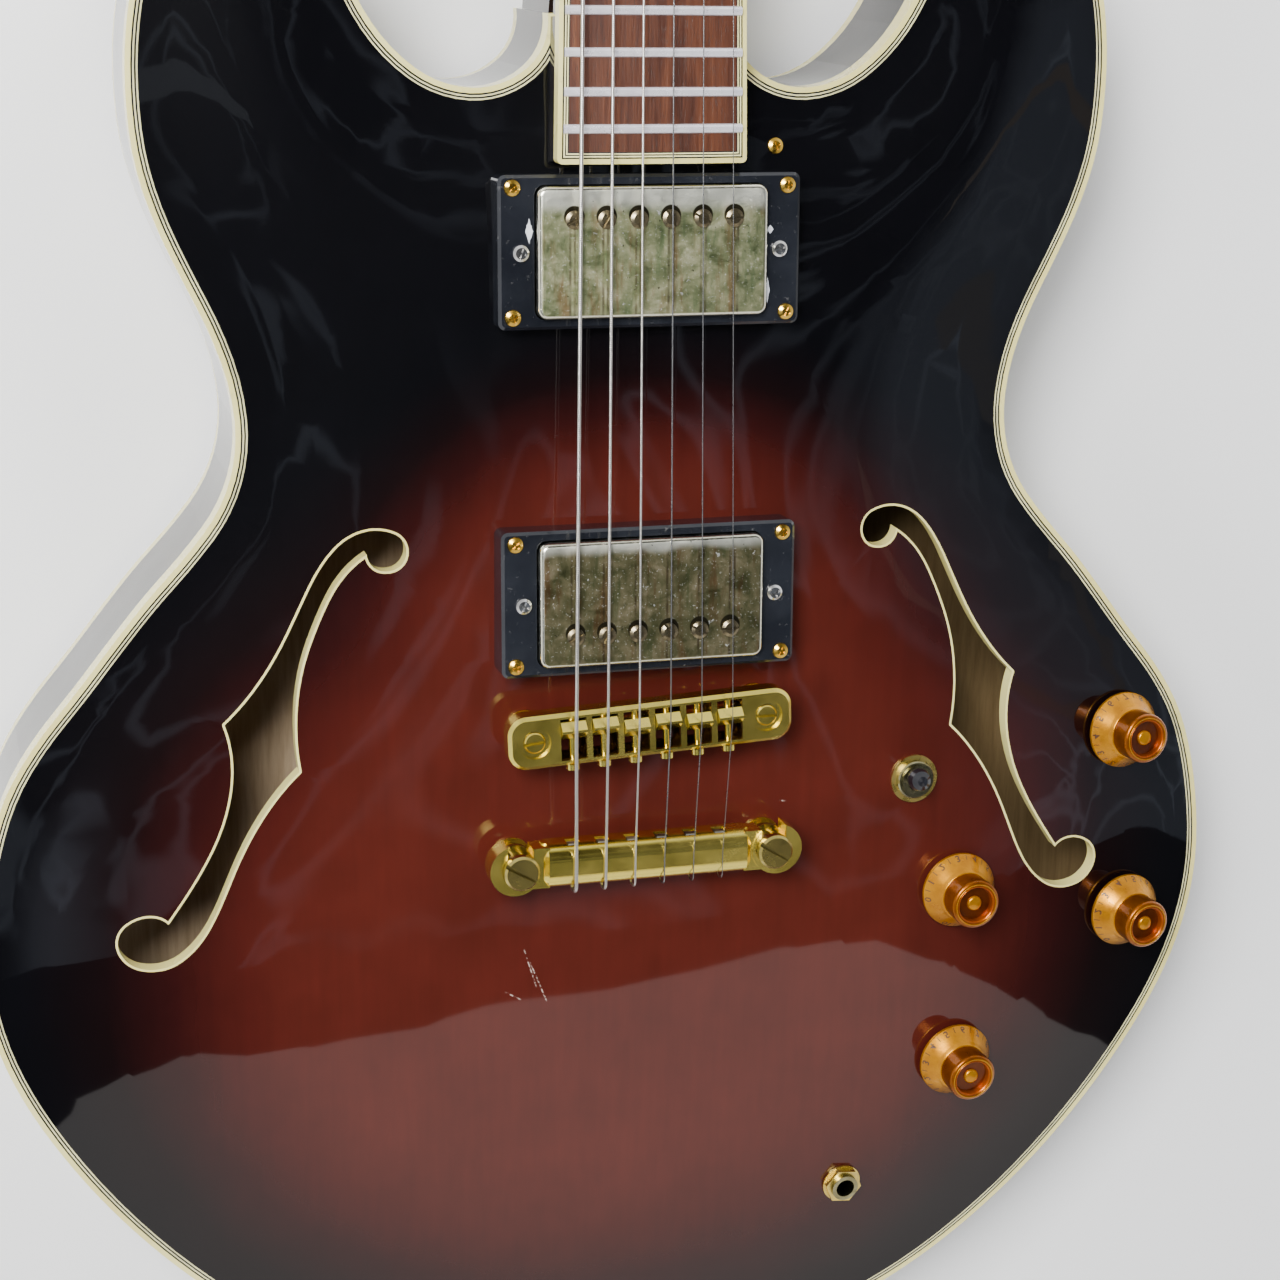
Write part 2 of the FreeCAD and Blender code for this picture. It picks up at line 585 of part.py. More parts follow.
feature("truss_rod", rod(2.2, V(0, 240, -BOARD - 3.7), V(0, NUT_Y + 5, -BOARD - 3.7)), NECK)

nut_shape = box(-NUT_HALF, NUT_HALF, SCALE, NUT_Y, -BOARD, 4).common(
    crowned(CROWN + 2.6, SCALE - 1, NUT_Y + 1))
nut_slots = []
string_nut = []
string_saddle = []
for number, diameter in enumerate(STRING_DIAMETERS):
    x = (number - 2.5) * size("nut_spacing")
    fall = x * x / (2 * CROWN)
    low = size("fret_tall") + size("nut_action") - fall
    string_nut.append(V(x, 0, low + diameter / 2 + 0.03))
    nut_slots.append(box(x - diameter / 2 - 0.1, x + diameter / 2 + 0.1, SCALE - 1, NUT_Y + 1,
                         low, 6))
feature("nut", nut_shape.cut(nut_slots), NECK)


# ---- strings -----------------------------------------------------------------------------------

CREST = size("saddle_height")
STAGGER = (2.9, 3.0, 1.4, 2.1, 0.9, 1.3)
bridge_slope = math.tan(math.radians(bridge_turn))
COIL_HEIGHT = 9.0


def saddle_place(number):
    """Where a string crosses its saddle: x along the strings' spread, y along the turned bridge."""
    x = (number - 2.5) * size("saddle_spacing")
    return x, bridge_middle + x * bridge_slope + STAGGER[number]


def rounded_route(points, radii):
    """Straight runs joined by tangent arcs."""
    edges = []
    start = points[0]
    for before, corner, after, radius in zip(points, points[1:], points[2:], radii):
        into = (corner - before).normalize()
        out = (after - corner).normalize()
        half_turn = into.getAngle(out) / 2
        back = radius * math.tan(half_turn)
        arc_start = corner - into * back
        arc_end = corner + out * back
        inward = (out - into).normalize()
        middle = corner + inward * (radius / math.cos(half_turn) - radius)
        edges.append(Part.makeLine(start, arc_start))
        edges.append(Part.Arc(arc_start, middle, arc_end).toShape())
        start = arc_end
    edges.append(Part.makeLine(start, points[-1]))
    return Part.Wire(edges)


def string_solid(number):
    """One string from its ball, round the tailpiece, over saddle and nut, to its tuner post."""
    radius = STRING_DIAMETERS[number] / 2
    x, saddle_y = saddle_place(number)
    side, where = tuner_places[number]
    rear = size("stud_y") - size("tail_front")
    over = size("tail_floor") + 2 * size("tail_round") + radius + 0.1
    nut_point = NECK.multVec(V(string_nut[number].x, NUT_Y - 0.1, string_nut[number].z))
    coil = side * -(size("post_waist") + radius + 0.25)
    tail_x = (number - 2.5) * size("tail_spacing")
    points = [V(tail_x, rear + 12.0, 9.4), V(tail_x, rear - 1.5, 9.4),
              V(tail_x, rear - 0.9, over + 0.2), V(tail_x, rear + 8.5, over),
              V(x, saddle_y, CREST + radius + 0.05), nut_point,
              where.multVec(V(coil, 0, COIL_HEIGHT))]
    route = rounded_route(points, (1.6, 2.4, 6.0, 3.0, 4.0))
    section = Part.Wire(Part.makeCircle(radius, points[0], points[1] - points[0]))
    wire = route.makePipeShell([section], True, False)
    ball = Part.makeCylinder(1.9, 3.2, points[0] - V(1.6, 0, 0), X_AXIS)
    return wire.fuse(ball)


strings = [string_solid(number) for number in range(len(STRING_DIAMETERS))]
feature("wound_strings", Part.makeCompound(strings[:WOUND]))
feature("plain_strings", Part.makeCompound(strings[WOUND:]))


# ---- bridge and tailpiece ----------------------------------------------------------------------

bridge_blank = slab("bridge_blank", rectangle("bridge_half", "bridge_wide"),
                    size("bridge_top") - size("bridge_floor"))
bridge_shape = local(bridge_blank, at(0, 0, size("bridge_floor")))
bridge_shape = fillet_upright(bridge_shape, 5.8)
bridge_shape = bridge_shape.makeChamfer(1.1, [edge_ for edge_ in bridge_shape.Edges
                                              if edge_.BoundBox.ZMin > size("bridge_top") - 0.01])
screw_line = 12.0
saddle_wide = 3.9
bridge_cuts = []
saddles = []
saddle_screws = []
for number in range(len(STRING_DIAMETERS)):
    x = (number - 2.5) * size("saddle_spacing")
    y = STAGGER[number]
    bridge_cuts.append(box(x - saddle_wide - 0.15, x + saddle_wide + 0.15, -6.6, 6.6, 9.8, 20))
    bridge_cuts.append(box(x - saddle_wide + 0.8, x + saddle_wide - 0.8, -5.4, 5.4, 0, 12))
    bridge_cuts.append(rod(1.15, V(x, -12, screw_line), V(x, 12, screw_line)))
    roof = Part.makePolygon([V(x - saddle_wide, y + across, up) for across, up in (
        (-2.7, 10.0), (2.7, 10.0), (2.7, 14.4), (0.5, CREST), (-0.3, CREST), (-2.7, 14.0),
        (-2.7, 10.0))])
    saddle = Part.Face(roof).extrude(V(2 * saddle_wide, 0, 0))
    saddles.append(saddle.cut(rod(1.12, V(x, -9, screw_line), V(x, 9, screw_line))))
    shank = rod(1.08, V(x, 8.4, screw_line), V(x, -8.8, screw_line))
    head = rod(2.1, V(x, -8.5, screw_line), V(x, -10.3, screw_line))
    slot = box(x - 2.5, x + 2.5, -10.6, -9.7, screw_line - 0.3, screw_line + 0.3)
    saddle_screws.append(shank.fuse(head).cut(slot))
for post_x in (-size("bridge_posts_x"), size("bridge_posts_x")):
    bridge_cuts.append(rod(3.45, V(post_x, 0, 0), V(post_x, 0, 20)))
    bridge_cuts.append(rod(5.0, V(post_x, 0, 13.6), V(post_x, 0, 20)))
feature("bridge_body", bridge_shape.cut(bridge_cuts), BRIDGE)
feature("saddles", Part.makeCompound(saddles), BRIDGE)
feature("saddle_screws", Part.makeCompound(saddle_screws), BRIDGE)

bridge_post = lathe("bridge_post", [
    (0, -18), (2.4, -18), (2.4, 5.7), (7.2, 5.7), (7.2, 7.9), (3.3, 7.9), (3.3, 14.0),
    (2.9, 14.4), (0, 14.4)])
driver_slot = box(-4, 4, -0.5, 0.5, 13.3, 16)
post_shape = bridge_post.Shape.cut(driver_slot)
turned_posts = [at(-size("bridge_posts_x"), 0, 0, 4), at(size("bridge_posts_x"), 0, 0, -3)]
feature("bridge_posts", Part.makeCompound([moved(post_shape, where) for where in turned_posts]),
        BRIDGE)
stud = lathe("stud", [
    (0, -18), (3.5, -18), (3.5, 3.6), ("stud_radius", 3.6), ("stud_radius", 5.2), (3.9, 5.2),
    (3.9, 13.6), ("stud_radius", 13.6), ("stud_radius", 15.6), (4.9, 16.4), (0, 16.4)])
stud_slot = box(-6, 6, -0.7, 0.7, 15.0, 18)
stud_shape = stud.Shape.cut(stud_slot)
stud_turns = (-30.0, -32.0)
feature("tail_studs", Part.makeCompound([moved(stud_shape, at(x, y, 0, turn))
                                         for (x, y), turn in zip(stud_places, stud_turns)]))


def bushing(name, bore):
    return lathe(name, [(bore, -24), (4.9, -24), (4.9, 0.05), (6.2, 0.05), (6.2, 0.8),
                        (bore, 0.8)])


bridge_bushing = bushing("bridge_bushing", 2.5)
stud_bushing = bushing("stud_bushing", 3.6)
bushings = []
for pattern, places in ((bridge_bushing, post_places), (stud_bushing, stud_places)):
    for x, y in places:
        bushings.append(local(pattern, at(x, y, EDGE_Z + arch(x, y, size("arch_rise")) + 0.1)))
feature("post_bushings", Part.makeCompound(bushings))

floor = size("tail_floor") + 0.4
round_r = size("tail_round")
rear = size("stud_y") - size("tail_front")
front = size("stud_y") + size("tail_front")
top = size("tail_floor") + 2 * round_r
bar_side = Part.Wire([
    Part.makeLine(V(0, front, floor), V(0, front, top - 4.2)),
    Part.Arc(V(0, front, top - 4.2), V(0, front - 1.6, top - 1.3),
             V(0, front - 5, top)).toShape(),
    Part.makeLine(V(0, front - 5, top), V(0, rear + round_r, top)),
    Part.Arc(V(0, rear + round_r, top), V(0, rear, top - round_r),
             V(0, rear + round_r, floor)).toShape(),
    Part.makeLine(V(0, rear + round_r, floor), V(0, front, floor))])
bar_half = 33.5
tail_bar = Part.Face(bar_side).translated(V(-bar_half, 0, 0)).extrude(V(2 * bar_half, 0, 0))
tail_bar = tail_bar.makeChamfer(1.4, [edge_ for edge_ in tail_bar.Edges
                                      if edge_.BoundBox.XLength < 0.01
                                      and edge_.BoundBox.ZMax > 8 and edge_.BoundBox.YLength > 0.5])
ears = []
ear_cuts = []
for x, y in stud_places:
    outer_x = math.copysign(size("tail_half") - 8.2, x)
    ears.append(rod(8.2, V(outer_x, y, 5.4), V(outer_x, y, 13.2)))
    ears.append(box(min(outer_x, x / abs(x) * (bar_half - 2)),
                    max(outer_x, x / abs(x) * (bar_half - 2)), y - 6.6, y + 6.6, 5.4, 12.6))
    ear_cuts.append(rod(4.0, V(x, y, 0), V(x, y, 20)))
    ear_cuts.append(box(x - 4.0, x + 4.0, y, y + 12, 0, 20))
for number in range(len(STRING_DIAMETERS)):
    x = (number - 2.5) * size("tail_spacing")
    ear_cuts.append(rod(1.0, V(x, rear - 2, 9.4), V(x, front + 2, 9.4)))
    ear_cuts.append(box(x - 2.1, x + 2.1, rear + 9.6, front + 1, 9.4 - 2.1, 9.4 + 2.1))
tail_ears = ears[0].fuse(ears[1:])
feature("tailpiece", tail_bar.fuse(tail_ears).cut(ear_cuts))


# ---- pickups -----------------------------------------------------------------------------------

ring_blank = slab("ring_blank", rectangle("ring_half_x", "ring_half_y"), 22, reverse=True)
ring_shape = fillet_upright(ring_blank.Shape, 2.2)
ring_shape = ring_shape.makeChamfer(0.9, [edge_ for edge_ in ring_shape.Edges
                                          if edge_.BoundBox.ZMin > -0.01])
opening_x = size("cover_half_x") + size("cover_gap")
opening_y = size("cover_half_y") + size("cover_gap")
ring_opening = fillet_upright(box(-opening_x, opening_x, -opening_y, opening_y, -30, 5), 3.2)
side_holes = [rod(1.3, V(sx * size("height_screw_x"), 0, -30), V(sx * size("height_screw_x"), 0, 5))
              for sx in (-1, 1)]
corner_holes = [rod(1.25, V(x, y, -30), V(x, y, 5)) for x, y in CORNERS]
ring_shape = ring_shape.cut([ring_opening] + side_holes + corner_holes)
feature("pickup_rings", Part.makeCompound([moved(ring_shape, where).cut(below_top)
                                           for where in PICKUPS]))

proud = size("cover_proud")
low = proud - size("cover_deep")
cover_x = size("cover_half_x")
cover_y = size("cover_half_y")
cover_outer = fillet_upright(box(-cover_x, cover_x, -cover_y, cover_y, low, proud), 3.0)
cover_outer = cover_outer.makeFillet(1.5, [edge_ for edge_ in cover_outer.Edges
                                           if edge_.BoundBox.ZMin > proud - 0.01])
cover_inner = fillet_upright(box(-cover_x + 0.8, cover_x - 0.8, -cover_y + 0.8, cover_y - 0.8,
                                 low - 1, proud - 0.9), 2.3)


def pole_x(number):
    return (number - 2.5) * 9.75


POLE_SIDES = (1, -1)
covers = []
poles = []
bobbins = []
plates = []
pole_screw = lathe("pole_screw", [
    (0, -15.5), (1.45, -15.5), (1.45, 0.05), ("pole_radius", 0.05), ("pole_radius", 0.7),
    (1.7, 1.15), (0, 1.25)])
pole_shape = pole_screw.Shape.cut(box(-3, 3, -0.35, 0.35, 0.55, 2))
plate_blank = slab("plate_blank", rectangle(34.2, 18.3), 1.2)
for where, pole_side in zip(PICKUPS, POLE_SIDES):
    spots = [V(pole_x(number), pole_side * size("pole_offset"), proud) for number in range(6)]
    pole_holes = [rod(1.6, spot - V(0, 0, 30), spot + V(0, 0, 5)) for spot in spots]
    covers.append(moved(cover_outer.cut([cover_inner] + pole_holes), where))
    poles += [moved(pole_shape, where * at(spot.x, spot.y, proud, 27 + 31 * number))
              for number, spot in enumerate(spots)]
    for row in (-1, 1):
        coil = fillet_upright(box(-33.5, 33.5, row * 9.1 - 8.4, row * 9.1 + 8.4, low + 1.4,
                                  proud - 1.2), 7.5)
        bobbins.append(moved(coil.cut(pole_holes) if row == pole_side else coil, where))
    plate = local(plate_blank, at(0, 0, low - 1.25))
    plate = plate.fuse(box(-42, 42, -5, 5, low - 1.25, low - 0.05)).cut(side_holes + pole_holes)
    plates.append(moved(plate, where))
feature("pickup_covers", Part.makeCompound(covers))
feature("pole_screws", Part.makeCompound(poles))
feature("pickup_bobbins", Part.makeCompound(bobbins))
feature("pickup_baseplates", Part.makeCompound(plates))


def cross_slots(reach, wide, depth, top_z):
    """The cross recess of a Phillips head."""
    return [box(-reach, reach, -wide, wide, top_z - depth, top_z + 1),
            box(-wide, wide, -reach, reach, top_z - depth, top_z + 1)]


height_screw = lathe("height_screw", [
    (0, -19), (1.2, -19), (1.2, 0.05), (2.4, 0.05), (2.4, 0.9), (1.7, 1.5), (0, 1.6)])
height_shape = height_screw.Shape.cut(cross_slots(1.5, 0.3, 0.9, 1.6))
height_places = [where * at(sx * size("height_screw_x"), 0, 0, 20 * sx)
                 for where in PICKUPS for sx in (-1, 1)]
feature("height_screws", Part.makeCompound([moved(height_shape, place)
                                            for place in height_places]))
wood_screw = lathe("wood_screw", [
    (0, -17), (0.5, -16), (1.15, -13), (1.15, 0.05), (2.5, 0.05), (2.3, 0.6), (1.3, 1.15),
    (0, 1.25)])
wood_shape = wood_screw.Shape.cut(cross_slots(1.4, 0.28, 0.8, 1.25))
screw_turns = [17 + 23 * number for number in range(9)]
feature("wood_screws", Part.makeCompound([
    moved(wood_shape, place * at(0, 0, 0, turn))
    for place, turn in zip(ring_screw_places + [guard_seat], screw_turns)]))


# ---- controls ----------------------------------------------------------------------------------

pot = lathe("pot", [
    (0, -15), ("pot_radius", -15), ("pot_radius", -6.2), ("panel_radius", -6.2),
    ("panel_radius", 3.6), (3.06, 3.6), (3.06, -13.6), (0, -13.6)])
group("potentiometers", pot, panel_places[:4])
washer = lathe("washer", [(4.75, 0.12), ("panel_washer_radius", 0.12),
                          ("panel_washer_radius", 0.8), (4.75, 0.8)])
group("panel_washers", washer, panel_places)
hexagon = doc.addObject("Part::Prism", "hexagon")
hexagon.Polygon = 6
hexagon.setExpression("Circumradius", "Dimensions.panel_nut_flats / sqrt(3)")
hexagon.Height = 2.1
nut_bore = doc.addObject("Part::Cylinder", "nut_bore")
nut_bore.setExpression("Radius", "Dimensions.panel_radius + 0.05")
nut_bore.Height = 2.1
panel_nut = doc.addObject("Part::Cut", "panel_nut")
panel_nut.Base = hexagon
panel_nut.Tool = nut_bore
doc.recompute()
group("panel_nuts", panel_nut, [where * at(0, 0, 0.82, 13 * number)
                                for number, where in enumerate(panel_places)])
jack = lathe("jack_turned", [
    ("jack_bore", -24), (8.0, -24), (8.0, -5.8), ("panel_radius", -5.8), ("panel_radius", 4.2),
    ("jack_bore", 4.2)])
feature("output_jack", local(jack), panel_places[4])

shaft_profile = [(0, -13.4), ("shaft_radius", -13.4), ("shaft_radius", 12.9), (0, 12.9)]
knob_shaft = lathe("knob_shaft", shaft_profile)
knob = lathe("knob", [
    (10.6, 1.4), ("knob_base", 1.4), ("knob_base", 2.6), (10.8, 5.2), (9.0, 7.2), (8.0, 9.2),
    ("knob_top", 15.2), (6.7, "knob_tall"), (5.6, "knob_tall"), (5.6, 14.8), (0, 14.8),
    (0, 13.0), (3.02, 13.0), (3.02, 4.6), (10.6, 4.6)])
for number, name in enumerate(KNOB_PLACES):
    feature(name, Part.makeCompound([local(knob), local(knob_shaft)]), panel_places[number])

toggle_tube = lathe("toggle_tube", [
    ("toggle_bore", -8.5), ("toggle_radius", -8.5), ("toggle_radius", 3.4),
    ("toggle_bore", 3.4)])
toggle_case = box(-7.0, 7.0, -15, 15, -27, -6.5).cut(
    [box(-5.4, 5.4, -13.4, 13.4, -25.5, -8.0), rod(size("toggle_bore"), V(0, 0, -10), V(0, 0, 0))])
feature("toggle_body", toggle_case.fuse(local(toggle_tube)), toggle_seat)
toggle_washer = lathe("toggle_washer_turned", [
    (5.3, 0.12), ("toggle_washer", 0.12), ("toggle_washer", 0.9), (5.3, 0.9)])
toggle_ring = lathe("toggle_ring", [
    (5.2, 0.92), (6.3, 0.92), (6.3, 2.2), (5.9, 2.7), (5.2, 2.7)])
feature("toggle_nut", Part.makeCompound([local(toggle_washer), local(toggle_ring)]), toggle_seat)
lever = lathe("lever", [
    (0, -9), (1.2, -9), (1.2, -2.2), (2.4, -1.0), (2.4, 1.0), (1.2, 2.2), (1.2, 11.6),
    (2.5, 11.6), (3.5, 13.4), (3.7, 15.6), (3.1, 18.0), (1.6, 19.4), (0, 19.8)])
THROW_AXIS = V(0.8, 0.6, 0)
TOGGLE_PIVOT = toggle_seat * at(0, 0, -7.0)
lever_rest = TOGGLE_PIVOT * Placement(V(0, 0, 0), Rotation(THROW_AXIS, -size("toggle_throw")))
pivot_pin = rod(0.9, THROW_AXIS * -3.0, THROW_AXIS * 3.0)
feature("toggle_lever", local(lever).fuse(pivot_pin), lever_rest)


# ---- tuners ------------------------------------------------------------------------------------

tuner_bushing = lathe("tuner_bushing", [
    (3.06, -13.9), ("bushing_radius", -13.9), ("bushing_radius", 0.05), ("tuner_head", 0.05),
    ("tuner_head", 1.1), (5.9, 1.7), (5.4, 3.9), (4.6, 4.4), (3.06, 4.4)])
group("tuner_bushings", tuner_bushing, [where for side, where in tuner_places])
tuner_post = lathe("tuner_post", [
    (0, -23.4), (2.3, -23.4), (2.3, -21.6), ("wheel_radius", -21.6), ("wheel_radius", -17.4),
    ("post_radius", -17.4), ("post_radius", 6.4), ("post_waist", 7.2), ("post_waist", 11.0),
    ("post_radius", 11.8), ("post_radius", 16.3), (2.3, "post_top"), (0, "post_top")])
KEY_Z = -19.5
offset = size("worm_offset")


def tuner_housing(side):
    """The case of one tuner, behind the headstock, with the worm's shaft leaving on one side."""
    case = fillet_upright(box(-7.6, 7.6, -8, 14.6, -25, -thick - 0.02), 2.5)
    lug = box(-4, 4, -14.5, -6, -thick - 2, -thick - 0.02)
    hollow = box(-6.2, 6.2, -6.4, 13.3, -23.7, -15.3)
    post_hole = rod(3.2, V(0, 0, -16), V(0, 0, 0))
    key_hole = rod(size("key_radius") + 0.06, V(side * 4, offset, KEY_Z), V(side * 9, offset, KEY_Z))
    return case.fuse(lug).cut([hollow, post_hole, key_hole,
                               rod(0.85, V(0, -11, -18), V(0, -11, -12))])


def tuner_key(side):
    """Worm, shaft and finger button in one turned piece."""
    worm = rod(size("worm_radius"), V(side * -4.5, offset, KEY_Z), V(side * 4.5, offset, KEY_Z))
    shaft_rod = rod(size("key_radius"), V(side * 4, offset, KEY_Z), V(side * 19, offset, KEY_Z))
    collar = rod(3.0, V(side * 7.8, offset, KEY_Z), V(side * 10.2, offset, KEY_Z))
    low_x = min(side * 16.5, side * 29)
    button = box(low_x, low_x + 12.5, offset - 7.8, offset + 7.8, KEY_Z - 3.6, KEY_Z + 3.6)
    button = button.makeFillet(3.3, button.Edges)
    return worm.fuse([shaft_rod, collar, button])


feature("tuner_housings", Part.makeCompound([moved(tuner_housing(side), where)
                                             for side, where in tuner_places]))
for number, (side, where) in enumerate(tuner_places, start=1):
    feature(f"tuner_post_{number}", local(tuner_post), where)
    feature(f"tuner_key_{number}", tuner_key(side), where)
cover_plate = slab("cover_plate", [(-8, 2), (8, 2), (11, 13), (9, 28), (4, 38), (-4, 38),
                                   (-9, 28), (-11, 13)], 1.9)
cover_holes = [rod(0.85, V(x, y, -1), V(x, y, 4)) for x, y in cover_spots]
feature("truss_rod_cover", local(cover_plate, at(0, 0, 0.05)).cut(cover_holes), HEAD)
small_screw = lathe("small_screw", [
    (0, -6.5), (0.75, -6), (0.75, 0.03), (1.9, 0.03), (1.5, 0.9), (0, 1.1)])
small_shape = small_screw.Shape.cut(cross_slots(1.0, 0.2, 0.6, 1.1))
feature("small_screws", Part.makeCompound([moved(small_shape, place)
                                           for place in cover_screws + housing_screws]))


# ---- strap buttons -----------------------------------------------------------------------------

button = lathe("button", [
    (1.7, 0.05), (6.2, 0.05), (6.2, 1.4), ("button_neck", 2.2), ("button_neck", 9.1),
    ("button_flange", 10.4), ("button_flange", 11.9), (6.9, 12.3), (3.9, 12.3), (1.7, 9.4)])
button_screw = lathe("button_screw", [
    (0, -19), (1.55, -17), (1.55, 9.2), (3.6, 12.0), (2.0, 12.9), (0, 13.1)])
button_screw_shape = button_screw.Shape.cut(cross_slots(2.0, 0.4, 1.4, 13.1))
button_places = [
    Placement(V(0, BODY_HALF[-1][1] - 0.05, BUTTON.z), Rotation(X_AXIS, 90)),
    heel_button]
feature("strap_buttons", Part.makeCompound(
    [local(button, place) for place in button_places]
    + [moved(button_screw_shape, place) for place in button_places]))


# ---- check and write ---------------------------------------------------------------------------

doc.recompute()
for item in doc.Objects:
    if "Invalid" in item.State or "Error" in item.State:
        raise RuntimeError(item.Label + " did not recompute")
for item in kept:
    if item.Shape.isNull() or not item.Shape.isValid() or not item.Shape.Solids:
        raise RuntimeError(item.Label + " is not a valid solid")
os.makedirs("parts", exist_ok=True)
for item in kept:
    item.Shape.exportStep(os.path.join("parts", item.Label + ".step"))
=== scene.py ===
import bpy
import bmesh
import json
import math
from mathutils import Matrix, Vector

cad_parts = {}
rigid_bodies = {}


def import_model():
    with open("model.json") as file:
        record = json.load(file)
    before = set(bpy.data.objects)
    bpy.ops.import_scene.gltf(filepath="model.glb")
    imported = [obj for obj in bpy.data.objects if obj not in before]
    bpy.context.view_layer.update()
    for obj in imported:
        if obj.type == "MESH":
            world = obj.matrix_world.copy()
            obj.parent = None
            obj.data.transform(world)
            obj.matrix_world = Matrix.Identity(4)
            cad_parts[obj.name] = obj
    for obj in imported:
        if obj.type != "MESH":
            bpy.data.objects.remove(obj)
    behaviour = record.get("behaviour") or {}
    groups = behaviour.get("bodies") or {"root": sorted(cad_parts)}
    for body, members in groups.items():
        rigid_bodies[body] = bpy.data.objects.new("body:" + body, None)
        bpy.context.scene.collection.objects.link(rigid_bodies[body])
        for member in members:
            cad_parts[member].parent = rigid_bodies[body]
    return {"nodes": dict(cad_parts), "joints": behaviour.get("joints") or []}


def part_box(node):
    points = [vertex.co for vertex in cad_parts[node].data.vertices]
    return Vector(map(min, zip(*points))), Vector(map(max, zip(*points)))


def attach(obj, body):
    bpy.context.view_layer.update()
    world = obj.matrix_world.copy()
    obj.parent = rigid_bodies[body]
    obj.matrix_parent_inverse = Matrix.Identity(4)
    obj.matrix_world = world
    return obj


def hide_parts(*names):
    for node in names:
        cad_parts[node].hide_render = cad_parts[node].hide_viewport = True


for leftover in list(bpy.data.objects):
    bpy.data.objects.remove(leftover)
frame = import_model()
NODES = frame["nodes"]
JOINTS = {joint["name"]: joint for joint in frame["joints"]}
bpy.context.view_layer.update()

# The scale frame of part.py: Y = 0 where the scale ends at the bridge, Z = 0 at the arch's crest.
BUTTON = Vector((0, -0.2502, -0.0325))
TILT = math.radians(1.45)
DATUM = Matrix.Rotation(TILT, 4, "X") @ Matrix.Translation(-BUTTON)
FACE_UP = DATUM.to_3x3() @ Vector((0, 0, 1))
MM = 0.001

# Measures in the scale frame, in metres. A scratch is (x0, y0, x1, y1) and a chip is
# (x, y, half width, half length).
BOARD_TAPER = 0.01579
STRING_SPACING = 0.00996
POLE_SPACING = 0.00975
POLE_ROWS = (0.1504, 0.0265)
# Where each pickup cover's painted highlight band starts, and how far it reaches.
COVER_HIGHLIGHT_BANDS = [(0.1598, 0.0095), (0.0551, 0.0055)]
BRIDGE_SLANT = math.atan2(0.0037, 0.074)
BODY_SCRATCHES = [(-0.0365, -0.0805, -0.0325, -0.0935), (-0.0345, -0.0850, -0.0290, -0.0990),
                  (-0.0425, -0.0945, -0.0375, -0.0975), (0.0475, -0.0370, 0.0495, -0.0375)]
RING_CHIPS = [(-0.0370, 0.1460, 0.0012, 0.0036), (0.0362, 0.1275, 0.0007, 0.0040),
              (0.0368, 0.1455, 0.0010, 0.0014)]


# ---- node helpers --------------------------------------------------------------------------------

